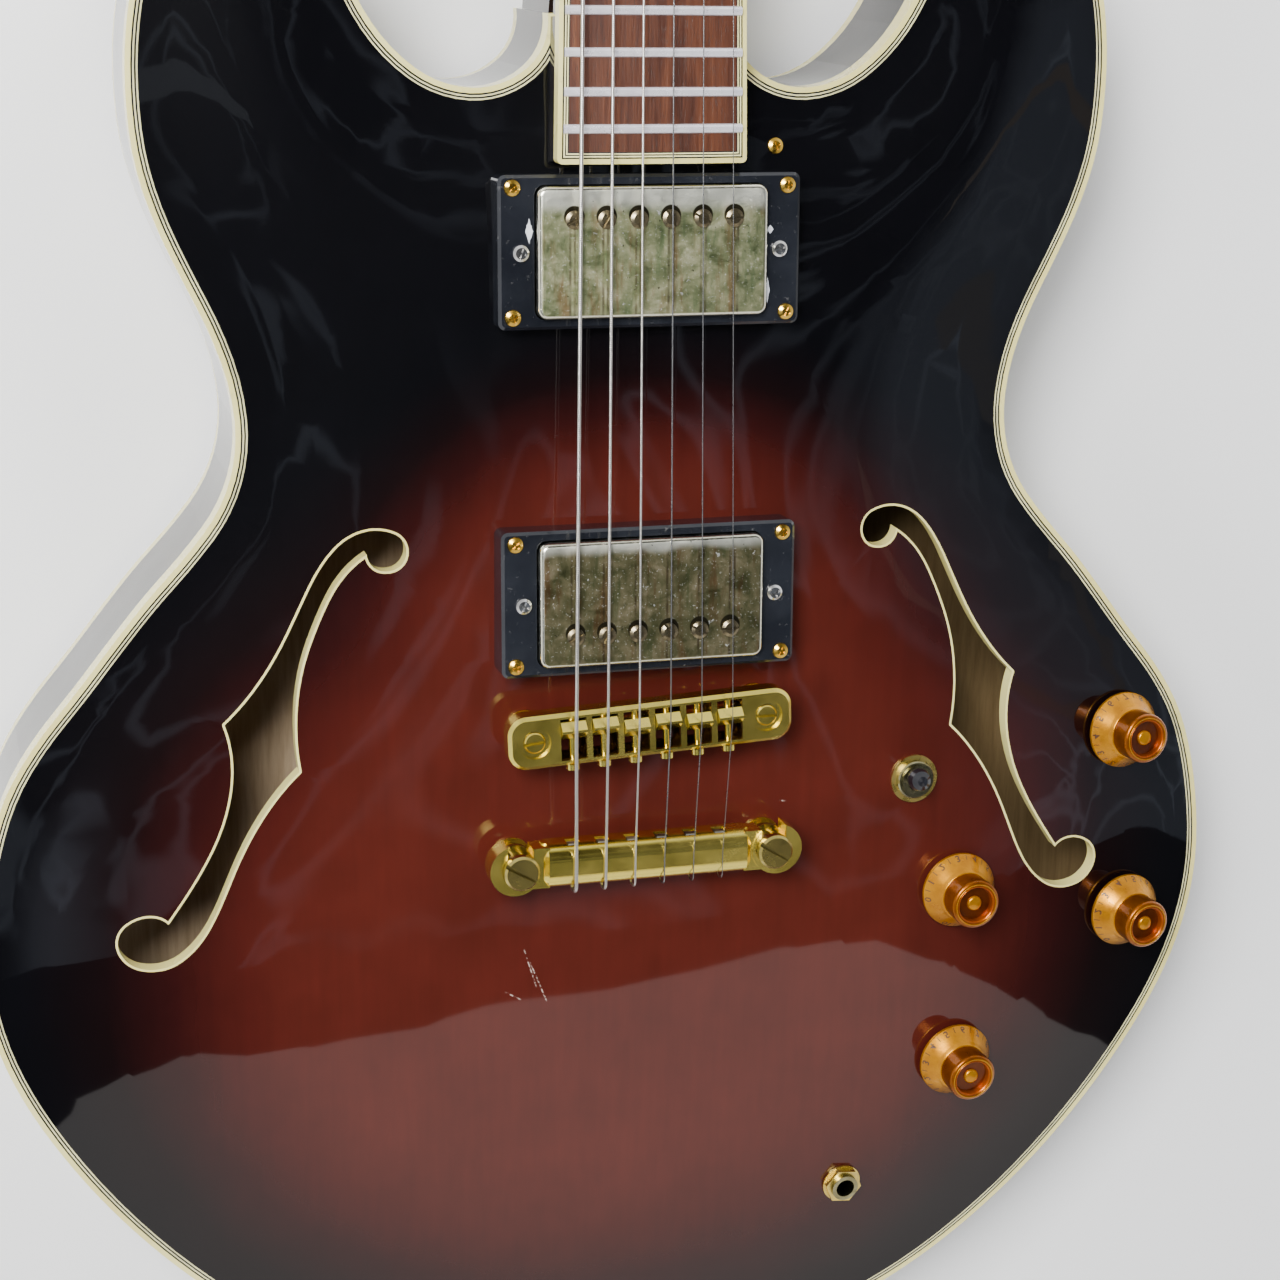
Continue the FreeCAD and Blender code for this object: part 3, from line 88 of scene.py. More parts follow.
class Shader:
    """A material being wired up, with one method per node that is used often."""

    def __init__(self, name, **sockets):
        self.material = bpy.data.materials.new(name)
        self.material.use_nodes = True
        self.tree = self.material.node_tree
        self.surface = self.tree.nodes["Principled BSDF"]
        self.set(**sockets)
        self.place = self.add("ShaderNodeTexCoord").outputs["Object"]

    def set(self, **sockets):
        for key, value in sockets.items():
            self.surface.inputs[key.replace("_", " ")].default_value = value

    def add(self, kind, **options):
        node = self.tree.nodes.new(kind)
        for key, value in options.items():
            setattr(node, key, value)
        return node

    def feed(self, socket, value):
        if hasattr(value, "links"):
            self.tree.links.new(value, socket)
        else:
            socket.default_value = value

    def out(self, name, value):
        self.feed(self.surface.inputs[name], value)

    def math(self, operation, a, b=0.0, c=0.0):
        node = self.add("ShaderNodeMath", operation=operation)
        for socket, value in zip(node.inputs, (a, b, c)):
            self.feed(socket, value)
        return node.outputs[0]

    def split(self, vector=None):
        node = self.add("ShaderNodeSeparateXYZ")
        self.feed(node.inputs[0], self.place if vector is None else vector)
        return node.outputs

    def split_scale(self):
        """X and Y measured in the scale frame, where the bridge is at Y = 0."""
        x, y, z = self.split()
        return x, self.math("ADD", y, BUTTON.y)

    def stretch(self, scale, shift=(0, 0, 0)):
        node = self.add("ShaderNodeMapping")
        self.feed(node.inputs["Vector"], self.place)
        node.inputs["Scale"].default_value = scale
        node.inputs["Location"].default_value = shift
        return node.outputs[0]

    def noise(self, scale, detail=3.0, rough=0.55, vector=None, distortion=0.0):
        node = self.add("ShaderNodeTexNoise")
        self.feed(node.inputs["Vector"], self.place if vector is None else vector)
        node.inputs["Scale"].default_value = scale
        node.inputs["Detail"].default_value = detail
        node.inputs["Roughness"].default_value = rough
        node.inputs["Distortion"].default_value = distortion
        return node.outputs[0]

    def span(self, value, low, high, to_low=0.0, to_high=1.0, smooth=True):
        node = self.add("ShaderNodeMapRange")
        node.interpolation_type = "SMOOTHSTEP" if smooth else "LINEAR"
        for socket, number in zip(node.inputs, (value, low, high, to_low, to_high)):
            self.feed(socket, number)
        return node.outputs[0]

    def ramp(self, value, stops):
        node = self.add("ShaderNodeValToRGB")
        self.feed(node.inputs[0], value)
        marks = node.color_ramp.elements
        while len(marks) < len(stops):
            marks.new(0.5)
        for mark, (where, colour) in zip(marks, stops):
            mark.position = where
            mark.color = (*colour, 1)
        return node.outputs[0]

    def mix(self, factor, a, b, blend="MIX"):
        node = self.add("ShaderNodeMix", data_type="RGBA", blend_type=blend)
        self.feed(node.inputs[0], factor)
        for socket, value in zip((node.inputs[6], node.inputs[7]), (a, b)):
            self.feed(socket, value if hasattr(value, "links") else (*value, 1))
        return node.outputs[2]

    def colour_so_far(self):
        return self.surface.inputs["Base Color"].links[0].from_socket

    def bump(self, height, distance, strength=1.0, target="Normal"):
        node = self.add("ShaderNodeBump")
        node.inputs["Strength"].default_value = strength
        node.inputs["Distance"].default_value = distance
        self.feed(node.inputs["Height"], height)
        self.out(target, node.outputs[0])


def dress(shader, *names):
    """Gives CAD nodes a finish."""
    for name in names:
        slots = NODES[name].data.materials
        for index in range(len(slots)):
            slots[index] = shader.material


def paint(piece, shader):
    piece.data.materials.clear()
    piece.data.materials.append(shader.material)
    return piece


# ---- lacquer, wood and plastic -------------------------------------------------------------------

def sunburst_factor(s):
    """1 in the red middle of the body, falling to 0 at its dark edges and upper bouts."""
    x, y = s.split_scale()
    wander = s.math("MULTIPLY", s.math("SUBTRACT", s.noise(9, 2), 0.5), 0.16)
    across = s.math("DIVIDE", x, 0.19)
    along = s.math("DIVIDE", s.math("ADD", y, 0.0787), 0.166)
    low = s.math("SQRT", s.math("ADD", s.math("POWER", s.math("ABSOLUTE", across), 2.3),
                                s.math("POWER", s.math("ABSOLUTE", along), 2.3)))
    across = s.math("DIVIDE", x, 0.115)
    along = s.math("DIVIDE", s.math("SUBTRACT", y, 0.0174), 0.10)
    high = s.math("SQRT", s.math("ADD", s.math("MULTIPLY", across, across),
                                 s.math("MULTIPLY", along, along)))
    reach = s.math("ADD", s.math("SMOOTH_MIN", low, high, 0.35), wander)
    return s.span(reach, 1.04, 0.42)


def lacquer(name, shaded=True):
    """Sprayed sunburst under a thick clear coat on the outside, bare laminate on the inside."""
    s = Shader(name, Specular_IOR_Level=0.04, Coat_Weight=1.0, Coat_Roughness=0.025, Coat_IOR=1.5)
    grain = s.noise(6, 4, 0.6, s.stretch((60, 5, 60)))
    mottle = s.noise(38, 3, 0.6)
    fade = sunburst_factor(s) if shaded else s.span(grain, 0.2, 0.9, 0.0, 0.06)
    colour = s.ramp(fade, [(0.0, (0.0012, 0.0012, 0.0020)), (0.22, (0.0042, 0.0012, 0.0015)),
                           (0.5, (0.018, 0.0026, 0.0024)), (0.78, (0.044, 0.0062, 0.0042)),
                           (1.0, (0.064, 0.0100, 0.0062))])
    figure = s.math("ADD", s.span(grain, 0.25, 0.75, 0.90, 1.06, False),
                    s.span(mottle, 0.3, 0.7, -0.10, 0.12, False))
    tone = s.add("ShaderNodeCombineColor")
    for socket in tone.inputs:
        s.feed(socket, figure)
    colour = s.mix(1.0, colour, tone.outputs[0], "MULTIPLY")
    return s, colour, mottle


def facing_up(s):
    """The upward part of the surface's normal, from -1 to 1."""
    return s.split(s.add("ShaderNodeNewGeometry").outputs["Normal"])[2]


def bare_wood(s, warm):
    streaks = s.noise(5, 5, 0.65, s.stretch((90, 6, 90)))
    return s.ramp(streaks, [(where, [channel * warm for channel in colour]) for where, colour in (
        (0.25, (0.20, 0.14, 0.07)), (0.5, (0.27, 0.20, 0.11)), (0.8, (0.34, 0.26, 0.15)))])


def scratches(s, runs):
    """Thin pale marks along short segments."""
    x, y = s.split_scale()
    total = 0.0
    for x0, y0, x1, y1 in runs:
        length = math.hypot(x1 - x0, y1 - y0)
        ux = (x1 - x0) / length
        uy = (y1 - y0) / length
        dx = s.math("SUBTRACT", x, x0)
        dy = s.math("SUBTRACT", y, y0)
        along = s.math("ADD", s.math("MULTIPLY", dx, ux), s.math("MULTIPLY", dy, uy))
        off = s.math("ABSOLUTE", s.math("SUBTRACT", s.math("MULTIPLY", dx, uy),
                                        s.math("MULTIPLY", dy, ux)))
        near = s.span(off, 0.00030, 0.00010)
        inside = s.math("MULTIPLY", s.span(along, -0.0005, 0.001),
                        s.span(along, length + 0.0005, length - 0.001))
        total = s.math("MAXIMUM", total, s.math("MULTIPLY", near, inside))
    return s.math("MULTIPLY", total, s.span(s.noise(700, 2), 0.42, 0.6))


def finish_body(name, inside_up, marks=()):
    """Lacquer outside and bare wood inside, the wood with painted shade towards +x; inside_up says
    which way the inner face looks.
    """
    s, colour = lacquer(name)[:2]
    facing = facing_up(s)
    if marks:
        colour = s.mix(s.math("MULTIPLY", scratches(s, marks), 0.75), colour, (0.55, 0.42, 0.36))
    inner = s.span(facing, 0.45, 0.55) if inside_up else s.span(facing, -0.45, -0.55)
    # Painted shade: the bare wood inside is darkened towards +x and faintly blued towards -x.
    age_and_shade = s.ramp(s.span(s.split()[0], -0.1, 0.1), [(0.0, (1.0, 1.0, 1.15)),
                                                   (1.0, (0.34, 0.31, 0.26))])
    wood = s.mix(1.0, bare_wood(s, 1.7), age_and_shade, "MULTIPLY")
    s.out("Base Color", s.mix(inner, colour, wood))
    s.out("Roughness", s.math("ADD", s.math("MULTIPLY", inner, 0.3), 0.42))
    s.out("Coat Weight", s.math("SUBTRACT", 1.0, inner))
    s.bump(s.noise(6, 1, 0.4), 0.003, 0.25, "Coat Normal")
    s.bump(s.noise(900, 2), 0.00005, 0.3)
    return s


dress(finish_body("sunburst_top", False, BODY_SCRATCHES), "top_plate")
dress(finish_body("sunburst_back", True), "back_plate")


def dark_lacquer(name):
    """Near-black sprayed lacquer with brown showing through, over the sides and neck."""
    s, colour, mottle = lacquer(name, False)
    s.out("Base Color", s.mix(s.span(mottle, 0.35, 0.75, 0.0, 0.35), colour,
                              (0.030, 0.013, 0.008)))
    waves = s.math("ADD", s.noise(12, 2, 0.5), s.math("MULTIPLY", s.noise(60, 2, 0.5), 0.08))
    s.bump(waves, 0.0025, 0.4, "Coat Normal")
    s.out("Coat Roughness", 0.05)
    return s


dress(dark_lacquer("dark_lacquer"), "rim", "neck")


def cream(name, dirt=0.25):
    s = Shader(name, Roughness=0.28, Coat_Weight=0.6, Coat_Roughness=0.08,
               Subsurface_Weight=0.06, Subsurface_Scale=0.002)
    s.surface.inputs["Subsurface Radius"].default_value = (1.0, 0.8, 0.5)
    age_and_shade = s.noise(14, 4, 0.6)
    tone = s.ramp(age_and_shade, [(0.25, (0.66, 0.56, 0.18)), (0.55, (0.76, 0.68, 0.26)),
                        (0.85, (0.82, 0.77, 0.36))])
    grime = s.math("MULTIPLY", s.span(s.noise(160, 4, 0.7), 0.58, 0.78), dirt)
    s.out("Base Color", s.mix(grime, tone, (0.22, 0.17, 0.09)))
    s.out("Roughness", s.span(age_and_shade, 0.3, 0.8, 0.2, 0.4, False))
    s.bump(s.noise(420, 3), 0.00006, 0.35)
    return s


CREAM = cream("cream_binding")
dress(CREAM, "top_binding", "back_binding", "f_hole_bindings")


def plastic(name, base, rough=0.22, speck=0.05, coat=0.5, fine=500):
    s = Shader(name, Roughness=rough, Coat_Weight=coat, Coat_Roughness=0.06)
    haze = s.noise(60, 4, 0.6)
    lighter = [min(1.0, channel * 1.6 + 0.004) for channel in base]
    colour = s.mix(s.span(haze, 0.3, 0.8), base, lighter)
    dust = s.math("MULTIPLY", s.span(s.noise(fine, 3, 0.7), 0.62, 0.75), speck)
    s.out("Base Color", s.mix(dust, colour, (0.45, 0.44, 0.42)))
    s.out("Roughness", s.span(haze, 0.2, 0.8, rough * 0.7, rough * 1.5, False))
    s.bump(s.noise(fine, 3), 0.00004, 0.3)
    return s


LINE_BLACK = plastic("line_black", (0.008, 0.008, 0.008))
LINE_WHITE = plastic("line_white", (0.50, 0.47, 0.25), 0.3, 0.02)
RING_BLACK = plastic("ring_black", (0.006, 0.007, 0.010), 0.16, 0.10)


def chipped(s, chips):
    """Bare pale spots where the plastic broke away."""
    x, y = s.split_scale()
    colour = s.colour_so_far()
    for middle_x, middle_y, wide, tall in chips:
        across = s.math("DIVIDE", s.math("SUBTRACT", x, middle_x), wide)
        along = s.math("DIVIDE", s.math("SUBTRACT", y, middle_y), tall)
        away = s.math("ADD", s.math("ABSOLUTE", across), s.math("ABSOLUTE", along))
        ragged = s.math("ADD", away, s.math("MULTIPLY", s.noise(900, 2), 0.5))
        colour = s.mix(s.span(ragged, 1.30, 1.15), colour, (0.66, 0.68, 0.72))
    s.out("Base Color", colour)


chipped(RING_BLACK, RING_CHIPS)
dress(RING_BLACK, "pickup_rings", "truss_rod_cover")
dress(plastic("bobbin_black", (0.012, 0.012, 0.012), 0.45), "pickup_bobbins")
TIP_BLACK = plastic("tip_black", (0.004, 0.004, 0.006), 0.2, 0.01, 0.25)


def board_edge(s):
    """How far a point of the fretboard is from its sides and end, as a share of 5 mm."""
    x, y, z = s.split()
    low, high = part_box("fretboard_binding")
    past = s.math("SUBTRACT", y, low.y + 0.0003)
    half = s.math("SUBTRACT", high.x, s.math("MULTIPLY", past, BOARD_TAPER))
    side = s.math("SUBTRACT", half, s.math("ABSOLUTE", x))
    return s.math("MULTIPLY", s.math("MINIMUM", side, past), 200)


def edge_lines(s, edge):
    """Three black lines with cream between them, inside the cream edge."""
    light = (0.82, 0.76, 0.36)
    dark = (0.010, 0.009, 0.008)
    lines = s.ramp(edge, [(0.0, light), (0.26, dark), (0.35, light), (0.43, dark), (0.51, light),
                          (0.58, dark)])
    lines.node.color_ramp.interpolation = "CONSTANT"
    return lines


def rosewood():
    """Open-pored brown-red wood with dark streaks along the board."""
    s = Shader("rosewood", Roughness=0.5)
    broad = s.noise(4, 5, 0.62, s.stretch((70, 4.5, 30)), 0.6)
    fine = s.noise(7, 5, 0.7, s.stretch((260, 11, 60)), 0.2)
    colour = s.ramp(s.math("ADD", s.math("MULTIPLY", broad, 0.65), s.math("MULTIPLY", fine, 0.35)),
                    [(0.28, (0.018, 0.004, 0.001)), (0.45, (0.048, 0.011, 0.003)),
                     (0.60, (0.090, 0.025, 0.008)), (0.8, (0.155, 0.056, 0.022))])
    pores = s.span(s.noise(9, 2, 0.6, s.stretch((420, 26, 100))), 0.60, 0.72)
    colour = s.mix(s.math("MULTIPLY", pores, 0.8), colour, (0.020, 0.008, 0.004))
    edge = board_edge(s)
    s.out("Base Color", s.mix(s.span(edge, 0.655, 0.645), colour, edge_lines(s, edge)))
    s.out("Roughness", s.span(fine, 0.2, 0.8, 0.38, 0.62, False))
    s.bump(s.math("SUBTRACT", fine, s.math("MULTIPLY", pores, 0.6)), 0.00018, 0.5)
    return s


dress(rosewood(), "fretboard")


def board_binding():
    """The cream edge of the fretboard, with the first of its thin lines."""
    s = cream("board_binding", 0.4)
    edge = board_edge(s)
    s.out("Base Color", s.mix(s.span(edge, 0.255, 0.265), s.colour_so_far(), edge_lines(s, edge)))
    return s


dress(board_binding(), "fretboard_binding")


def raw_wood(name, warm):
    s = Shader(name, Roughness=0.7)
    s.out("Base Color", bare_wood(s, warm))
    s.bump(s.noise(7, 4, 0.7, s.stretch((200, 14, 200))), 0.0002, 0.4)
    return s


dress(raw_wood("raw_wood", 1.2), "linings", "centre_block")


def bone():
    s = Shader("bone", Roughness=0.35, Coat_Weight=0.3, Subsurface_Weight=0.1,
               Subsurface_Scale=0.002)
    s.out("Base Color", s.ramp(s.noise(6, 4, 0.6, s.stretch((30, 200, 60))), [
        (0.3, (0.62, 0.55, 0.40)), (0.7, (0.80, 0.76, 0.62))]))
    s.bump(s.noise(350, 3), 0.00005, 0.3)
    return s


dress(bone(), "nut")


def pearl():
    s = Shader("pearl", Roughness=0.18, Coat_Weight=1.0, Coat_Roughness=0.05)
    s.out("Base Color", s.ramp(s.noise(120, 3, 0.6, None, 2.5), [
        (0.3, (0.42, 0.47, 0.45)), (0.5, (0.75, 0.72, 0.70)), (0.7, (0.88, 0.90, 0.82))]))
    s.bump(s.noise(140, 2), 0.0001, 0.4)
    return s


dress(pearl(), "inlays")


# ---- metals --------------------------------------------------------------------------------------

def metal(name, bright, dull, rough=(0.18, 0.4), scale=60, brush=(1, 1, 1), spots=0.3, bump=0.3,
          spot_colour=(0.05, 0.04, 0.02), metallic=1.0):
    """Plated metal with dull patches, fine brushing and dark specks."""
    s = Shader(name, Metallic=metallic)
    patch = s.noise(scale, 5, 0.65, None, 0.6)
    lines = s.noise(55, 4, 0.7, s.stretch(brush))
    worn = s.span(patch, 0.32, 0.68)
    colour = s.mix(worn, bright, dull)
    specks = s.math("MULTIPLY", s.span(s.noise(scale * 9, 4, 0.7), 0.62, 0.74), spots)
    s.out("Base Color", s.mix(specks, colour, spot_colour))
    smear = s.math("ADD", s.math("MULTIPLY", worn, 0.6), s.math("MULTIPLY", lines, 0.4))
    s.out("Roughness", s.span(smear, 0.15, 0.85, *rough, False))
    s.bump(s.math("ADD", s.math("MULTIPLY", lines, 0.7), s.math("MULTIPLY", patch, 0.3)),
           0.00008, bump)
    return s


def worn_gold(name):
    return metal(name, (1.0, 0.80, 0.15), (0.92, 0.75, 0.18), (0.15, 0.30), 30, (6, 40, 10),
                 0.12, 0.10)


GOLD = worn_gold("worn_gold")
TUNER_GOLD = metal("tuner_gold", (0.90, 0.68, 0.28), (0.78, 0.58, 0.26), (0.12, 0.3), 40)
SCREW_GOLD = metal("screw_gold", (0.92, 0.58, 0.10), (0.70, 0.42, 0.06), (0.15, 0.35), 300)
STEEL = metal("plain_steel", (0.82, 0.81, 0.80), (0.66, 0.65, 0.63), (0.18, 0.35), 90,
              spots=0.1, metallic=0.7)
NICKEL = metal("worn_nickel", (0.44, 0.41, 0.24), (0.28, 0.25, 0.13), (0.14, 0.32), 160, spots=0.3)
STUD = metal("stud_nickel", (0.62, 0.50, 0.16), (0.42, 0.34, 0.10), (0.14, 0.30), 120, spots=0.1,
             bump=0.1)
FRET = metal("fret_wire", (0.88, 0.86, 0.90), (0.76, 0.73, 0.78), (0.2, 0.35), 120, (6, 60, 6),
             0.05, metallic=0.5)
WASHER = metal("washer_gold", (0.96, 0.72, 0.18), (0.78, 0.60, 0.20), (0.2, 0.4), 190, spots=0.3)
dress(GOLD, "saddles", "saddle_screws", "bridge_posts", "tailpiece",
      "post_bushings")
dress(TUNER_GOLD, "tuner_bushings", "tuner_housings", "strap_buttons",
      *[f"tuner_{part}_{n}" for part in ("post", "key") for n in range(1, 7)])
dress(SCREW_GOLD, "wood_screws", "small_screws")
dress(STEEL, "truss_rod", "potentiometers", "pickup_baseplates")
POLE = metal("pole_nickel", (0.30, 0.25, 0.15), (0.15, 0.12, 0.07), (0.25, 0.4), 400, spots=0.4)
CHROME = metal("bright_nickel", (0.90, 0.89, 0.88), (0.74, 0.72, 0.68), (0.10, 0.22), 300,
               spots=0.1)
dress(NICKEL, "toggle_nut", "toggle_body", "output_jack")
dress(POLE, "pole_screws")
dress(CHROME, "height_screws")
dress(STUD, "tail_studs")
dress(FRET, "frets")
dress(metal("plain_string", (0.42, 0.42, 0.42), (0.28, 0.28, 0.28), (0.2, 0.35), 90, spots=0.1),
      "plain_strings")
dress(WASHER, "panel_washers", "panel_nuts")


def bridge_gold():
    """The worn gold of the bridge, with painted shade down inside the saddles' slots."""
    s = worn_gold("bridge_gold")
    x, y = s.split_scale()
    low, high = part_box("bridge_body")
    middle = (low.y + high.y) / 2 + BUTTON.y
    lean = s.math("ADD", s.math("MULTIPLY", x, -math.sin(BRIDGE_SLANT)),
                  s.math("MULTIPLY", s.math("SUBTRACT", y, middle), math.cos(BRIDGE_SLANT)))
    # Painted shade: the gold is darkened inside the saddles' slots, below their top.
    inside = s.math("MULTIPLY", s.span(s.math("ABSOLUTE", lean), 0.0068, 0.0066),
                    s.span(s.math("ABSOLUTE", x), 0.0320, 0.0315))
    below = s.span(s.split()[2], high.z - 0.0014, high.z - 0.0024)
    s.out("Base Color", s.mix(s.math("MULTIPLY", inside, below), s.colour_so_far(),
                              (0.035, 0.018, 0.006)))
    return s


dress(bridge_gold(), "bridge_body")


def wound():
    """Wrapped strings: fine ridges round the core and a smear of finger grime."""
    s = Shader("wound_string", Metallic=1.0, Roughness=0.3)
    s.out("Base Color", s.mix(s.noise(25, 3), (0.80, 0.78, 0.74), (0.58, 0.54, 0.48)))
    waves = s.add("ShaderNodeTexWave", bands_direction="Y")
    waves.inputs["Scale"].default_value = 520
    s.feed(waves.inputs["Vector"], s.place)
    s.bump(waves.outputs["Fac"], 0.00008, 0.5)
    return s


dress(wound(), "wound_strings")


def tarnished_cover():
    """Gold worn down to green-grey nickel, stained along the strings; painted shade darkens the
    bridge pickup's cover, and painted highlights lie along the covers' top bands and edges.
    """
    s = Shader("tarnished_cover", Metallic=1.0)
    x, y = s.split_scale()
    cloud = s.noise(150, 5, 0.7, None, 0.4)
    colour = s.ramp(cloud, [(0.28, (0.22, 0.27, 0.12)), (0.44, (0.39, 0.43, 0.22)),
                            (0.58, (0.55, 0.55, 0.32)), (0.74, (0.72, 0.70, 0.50))])
    streaks = s.noise(60, 4, 0.65, s.stretch((3.2, 0.5, 1)))
    colour = s.mix(s.span(streaks, 0.50, 0.66, 0.0, 0.7), colour, (0.36, 0.21, 0.09))
    colour = s.mix(s.span(streaks, 0.46, 0.32, 0.0, 0.55), colour, (0.20, 0.30, 0.13))
    string_at = s.math("PINGPONG", s.math("ADD", x, 3.5 * STRING_SPACING), STRING_SPACING / 2)
    beside = s.math("ABSOLUTE", s.math("SUBTRACT", string_at, 0.0007))
    track = s.math("MULTIPLY", s.span(beside, 0.0006, 0.0001),
                   s.span(s.noise(160, 3), 0.3, 0.6, 0.1, 0.75))
    colour = s.mix(track, colour, (0.15, 0.12, 0.07))
    # Painted shade: the cover nearer the bridge is darkened to about half.
    shade = s.ramp(s.span(y, 0.085, 0.095), [(0.0, (0.50, 0.44, 0.42)), (1.0, (1, 1, 1))])
    colour = s.mix(1.0, colour, shade, "MULTIPLY")
    # Painted highlight: a pale band near the top of each cover.
    for top_edge, wide in COVER_HIGHLIGHT_BANDS:
        below = s.math("ADD", s.math("ABSOLUTE", s.math("SUBTRACT", y, top_edge)),
                       s.math("MULTIPLY", s.math("SUBTRACT", s.noise(70, 2), 0.5), 0.006))
        colour = s.mix(s.span(below, wide, 0.4 * wide, 0.0, 0.95), colour, (1.0, 1.0, 0.86))
    grain = s.span(s.noise(1300, 3, 0.7), 0.60, 0.70, 0.0, 0.7)
    colour = s.mix(grain, colour, (0.82, 0.82, 0.72))
    pits = s.span(s.noise(560, 3, 0.7, s.stretch((1, 1, 1), (3.1, 1.7, 0))), 0.66, 0.74, 0.0, 0.8)
    colour = s.mix(pits, colour, (0.05, 0.05, 0.03))
    flakes = s.span(s.noise(330, 3, 0.7, s.stretch((1, 1, 1), (0.4, 2.9, 0))), 0.68, 0.72, 0.0, 0.9)
    colour = s.mix(flakes, colour, (0.95, 0.95, 0.88))
    across = s.math("PINGPONG", s.math("ADD", x, 3.5 * POLE_SPACING), POLE_SPACING / 2)
    inside = s.math("LESS_THAN", s.math("ABSOLUTE", x), 3 * POLE_SPACING)
    for row in POLE_ROWS:
        along = s.math("SUBTRACT", y, row)
        away = s.math("SQRT", s.math("ADD", s.math("MULTIPLY", across, across),
                                     s.math("MULTIPLY", along, along)))
        colour = s.mix(s.math("MULTIPLY", s.span(away, 0.0033, 0.0029), inside), colour,
                       (0.04, 0.035, 0.02))
    # Painted highlight: the covers' sloping edges are painted pale.
    facing = s.math("ABSOLUTE", facing_up(s))
    edge = s.span(facing, 0.985, 0.90)
    s.out("Base Color", s.mix(edge, colour, (0.98, 0.95, 0.76)))
    s.out("Roughness", s.math("SUBTRACT", s.span(cloud, 0.3, 0.7, 0.34, 0.50, False),
                              s.math("MULTIPLY", edge, 0.24)))
    s.bump(s.math("ADD", cloud, s.math("MULTIPLY", grain, 0.3)), 0.0003, 0.3)
    return s


dress(tarnished_cover(), "pickup_covers")
dress(TIP_BLACK, "toggle_lever")


# ---- pieces made in mesh code --------------------------------------------------------------------

def add_mesh(name, mesh):
    piece = bpy.data.objects.new(name, mesh)
    bpy.context.scene.collection.objects.link(piece)
    return piece


def mesh_piece(name, built, where=None, smooth=False):
    """Turns a finished bmesh into a piece and frees it."""
    mesh = bpy.data.meshes.new(name)
    built.to_mesh(mesh)
    built.free()
    if where:
        mesh.transform(where)
    if smooth:
        for face in mesh.polygons:
            face.use_smooth = True
    return add_mesh(name, mesh)


def connected(items, neighbours):
    """Groups of items that hang together, each in the items' own order."""
    left = set(items)
    groups = []
    while left:
        todo = [left.pop()]
        found = set(todo)
        while todo:
            for item in neighbours(todo.pop()):
                if item in left:
                    left.discard(item)
                    found.add(item)
                    todo.append(item)
        groups.append([item for item in items if item in found])
    return groups


def islands(source, name):
    """Copies of a CAD node's separate solids, the one that reaches furthest to +x first."""
    built = bmesh.new()
    built.from_mesh(source.data)
    bmesh.ops.remove_doubles(built, verts=built.verts, dist=1e-7)
    groups = connected(built.verts, lambda vertex: [edge.other_vert(vertex)
                                                    for edge in vertex.link_edges])
    groups.sort(key=lambda group: -max(vertex.co.x for vertex in group))
    pieces = []
    for number, group in enumerate(groups):
        part = bmesh.new()
        copies = {vertex: part.verts.new(vertex.co) for vertex in group}
        for face in built.faces:
            if face.verts[0] in copies:
                part.faces.new([copies[vertex] for vertex in face.verts])
        pieces.append(mesh_piece(f"{name}_{number}", part))
    built.free()
    return pieces


def raised_rings(source, name):
    """A node's touching flat rings as separate pieces, outermost first, each drawn from its top."""
    heights = [FACE_UP.dot(vertex.co) for vertex in source.data.vertices]
    drop = FACE_UP * (min(heights) - max(heights))
    built = bmesh.new()
    built.from_mesh(source.data)
    bmesh.ops.delete(built, context="FACES",
                     geom=[face for face in built.faces if face.normal.dot(FACE_UP) < 0.9])
    groups = connected(built.faces, lambda face: [beside for edge in face.edges
                                                  for beside in edge.link_faces])
    groups.sort(key=lambda group: -max(vertex.co.x for face in group for vertex in face.verts))
    pieces = []
    for number, group in enumerate(groups):
        part = bmesh.new()
        corners = dict.fromkeys(vertex for face in group for vertex in face.verts)
        copies = {vertex: part.verts.new(vertex.co) for vertex in corners}
        tops = [part.faces.new([copies[vertex] for vertex in face.verts]) for face in group]
        lifted = bmesh.ops.extrude_face_region(part, geom=tops, use_keep_orig=True)
        bmesh.ops.translate(part, vec=drop, verts=[item for item in lifted["geom"]
                                                   if isinstance(item, bmesh.types.BMVert)])
        bmesh.ops.recalc_face_normals(part, faces=part.faces)
        pieces.append(mesh_piece(f"{name}_{number}", part))
    built.free()
    return pieces


for number, ring in enumerate(raised_rings(NODES["top_purfling"], "purfling")):
    paint(ring, LINE_BLACK if number % 2 == 0 else LINE_WHITE)
    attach(ring, "guitar")
    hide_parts("top_purfling")
for number, ring in enumerate(islands(NODES["toggle_nut"], "toggle_ring")):
    paint(ring, WASHER if number == 0 else NICKEL)
    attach(ring, "guitar")
    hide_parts("toggle_nut")


def turned(name, profile, where, steps=96, closed=True):
    """A surface of revolution about the Z axis of where; profile is (radius, height) in mm."""
    built = bmesh.new()
    rings = []
    for radius, height in profile:
        if radius < 1e-6:
            rings.append([built.verts.new((0, 0, height * MM))])
            continue
        rings.append([built.verts.new((radius * MM * math.cos(2 * math.pi * k / steps),
                                       radius * MM * math.sin(2 * math.pi * k / steps),
                                       height * MM)) for k in range(steps)])
    pairs = list(zip(rings, rings[1:]))
    if closed and len(rings[0]) > 1 and len(rings[-1]) > 1:
        pairs.append((rings[-1], rings[0]))
    for low, high in pairs:
        for k in range(steps):
            after = (k + 1) % steps
            if len(low) == 1 and len(high) == 1:
                continue
            if len(low) == 1:
                built.faces.new((low[0], high[after], high[k]))
            elif len(high) == 1:
                built.faces.new((low[k], low[after], high[0]))
            else:
                built.faces.new((low[k], low[after], high[after], high[k]))
    bmesh.ops.recalc_face_normals(built, faces=built.faces)
    return mesh_piece(name, built, where, smooth=True)


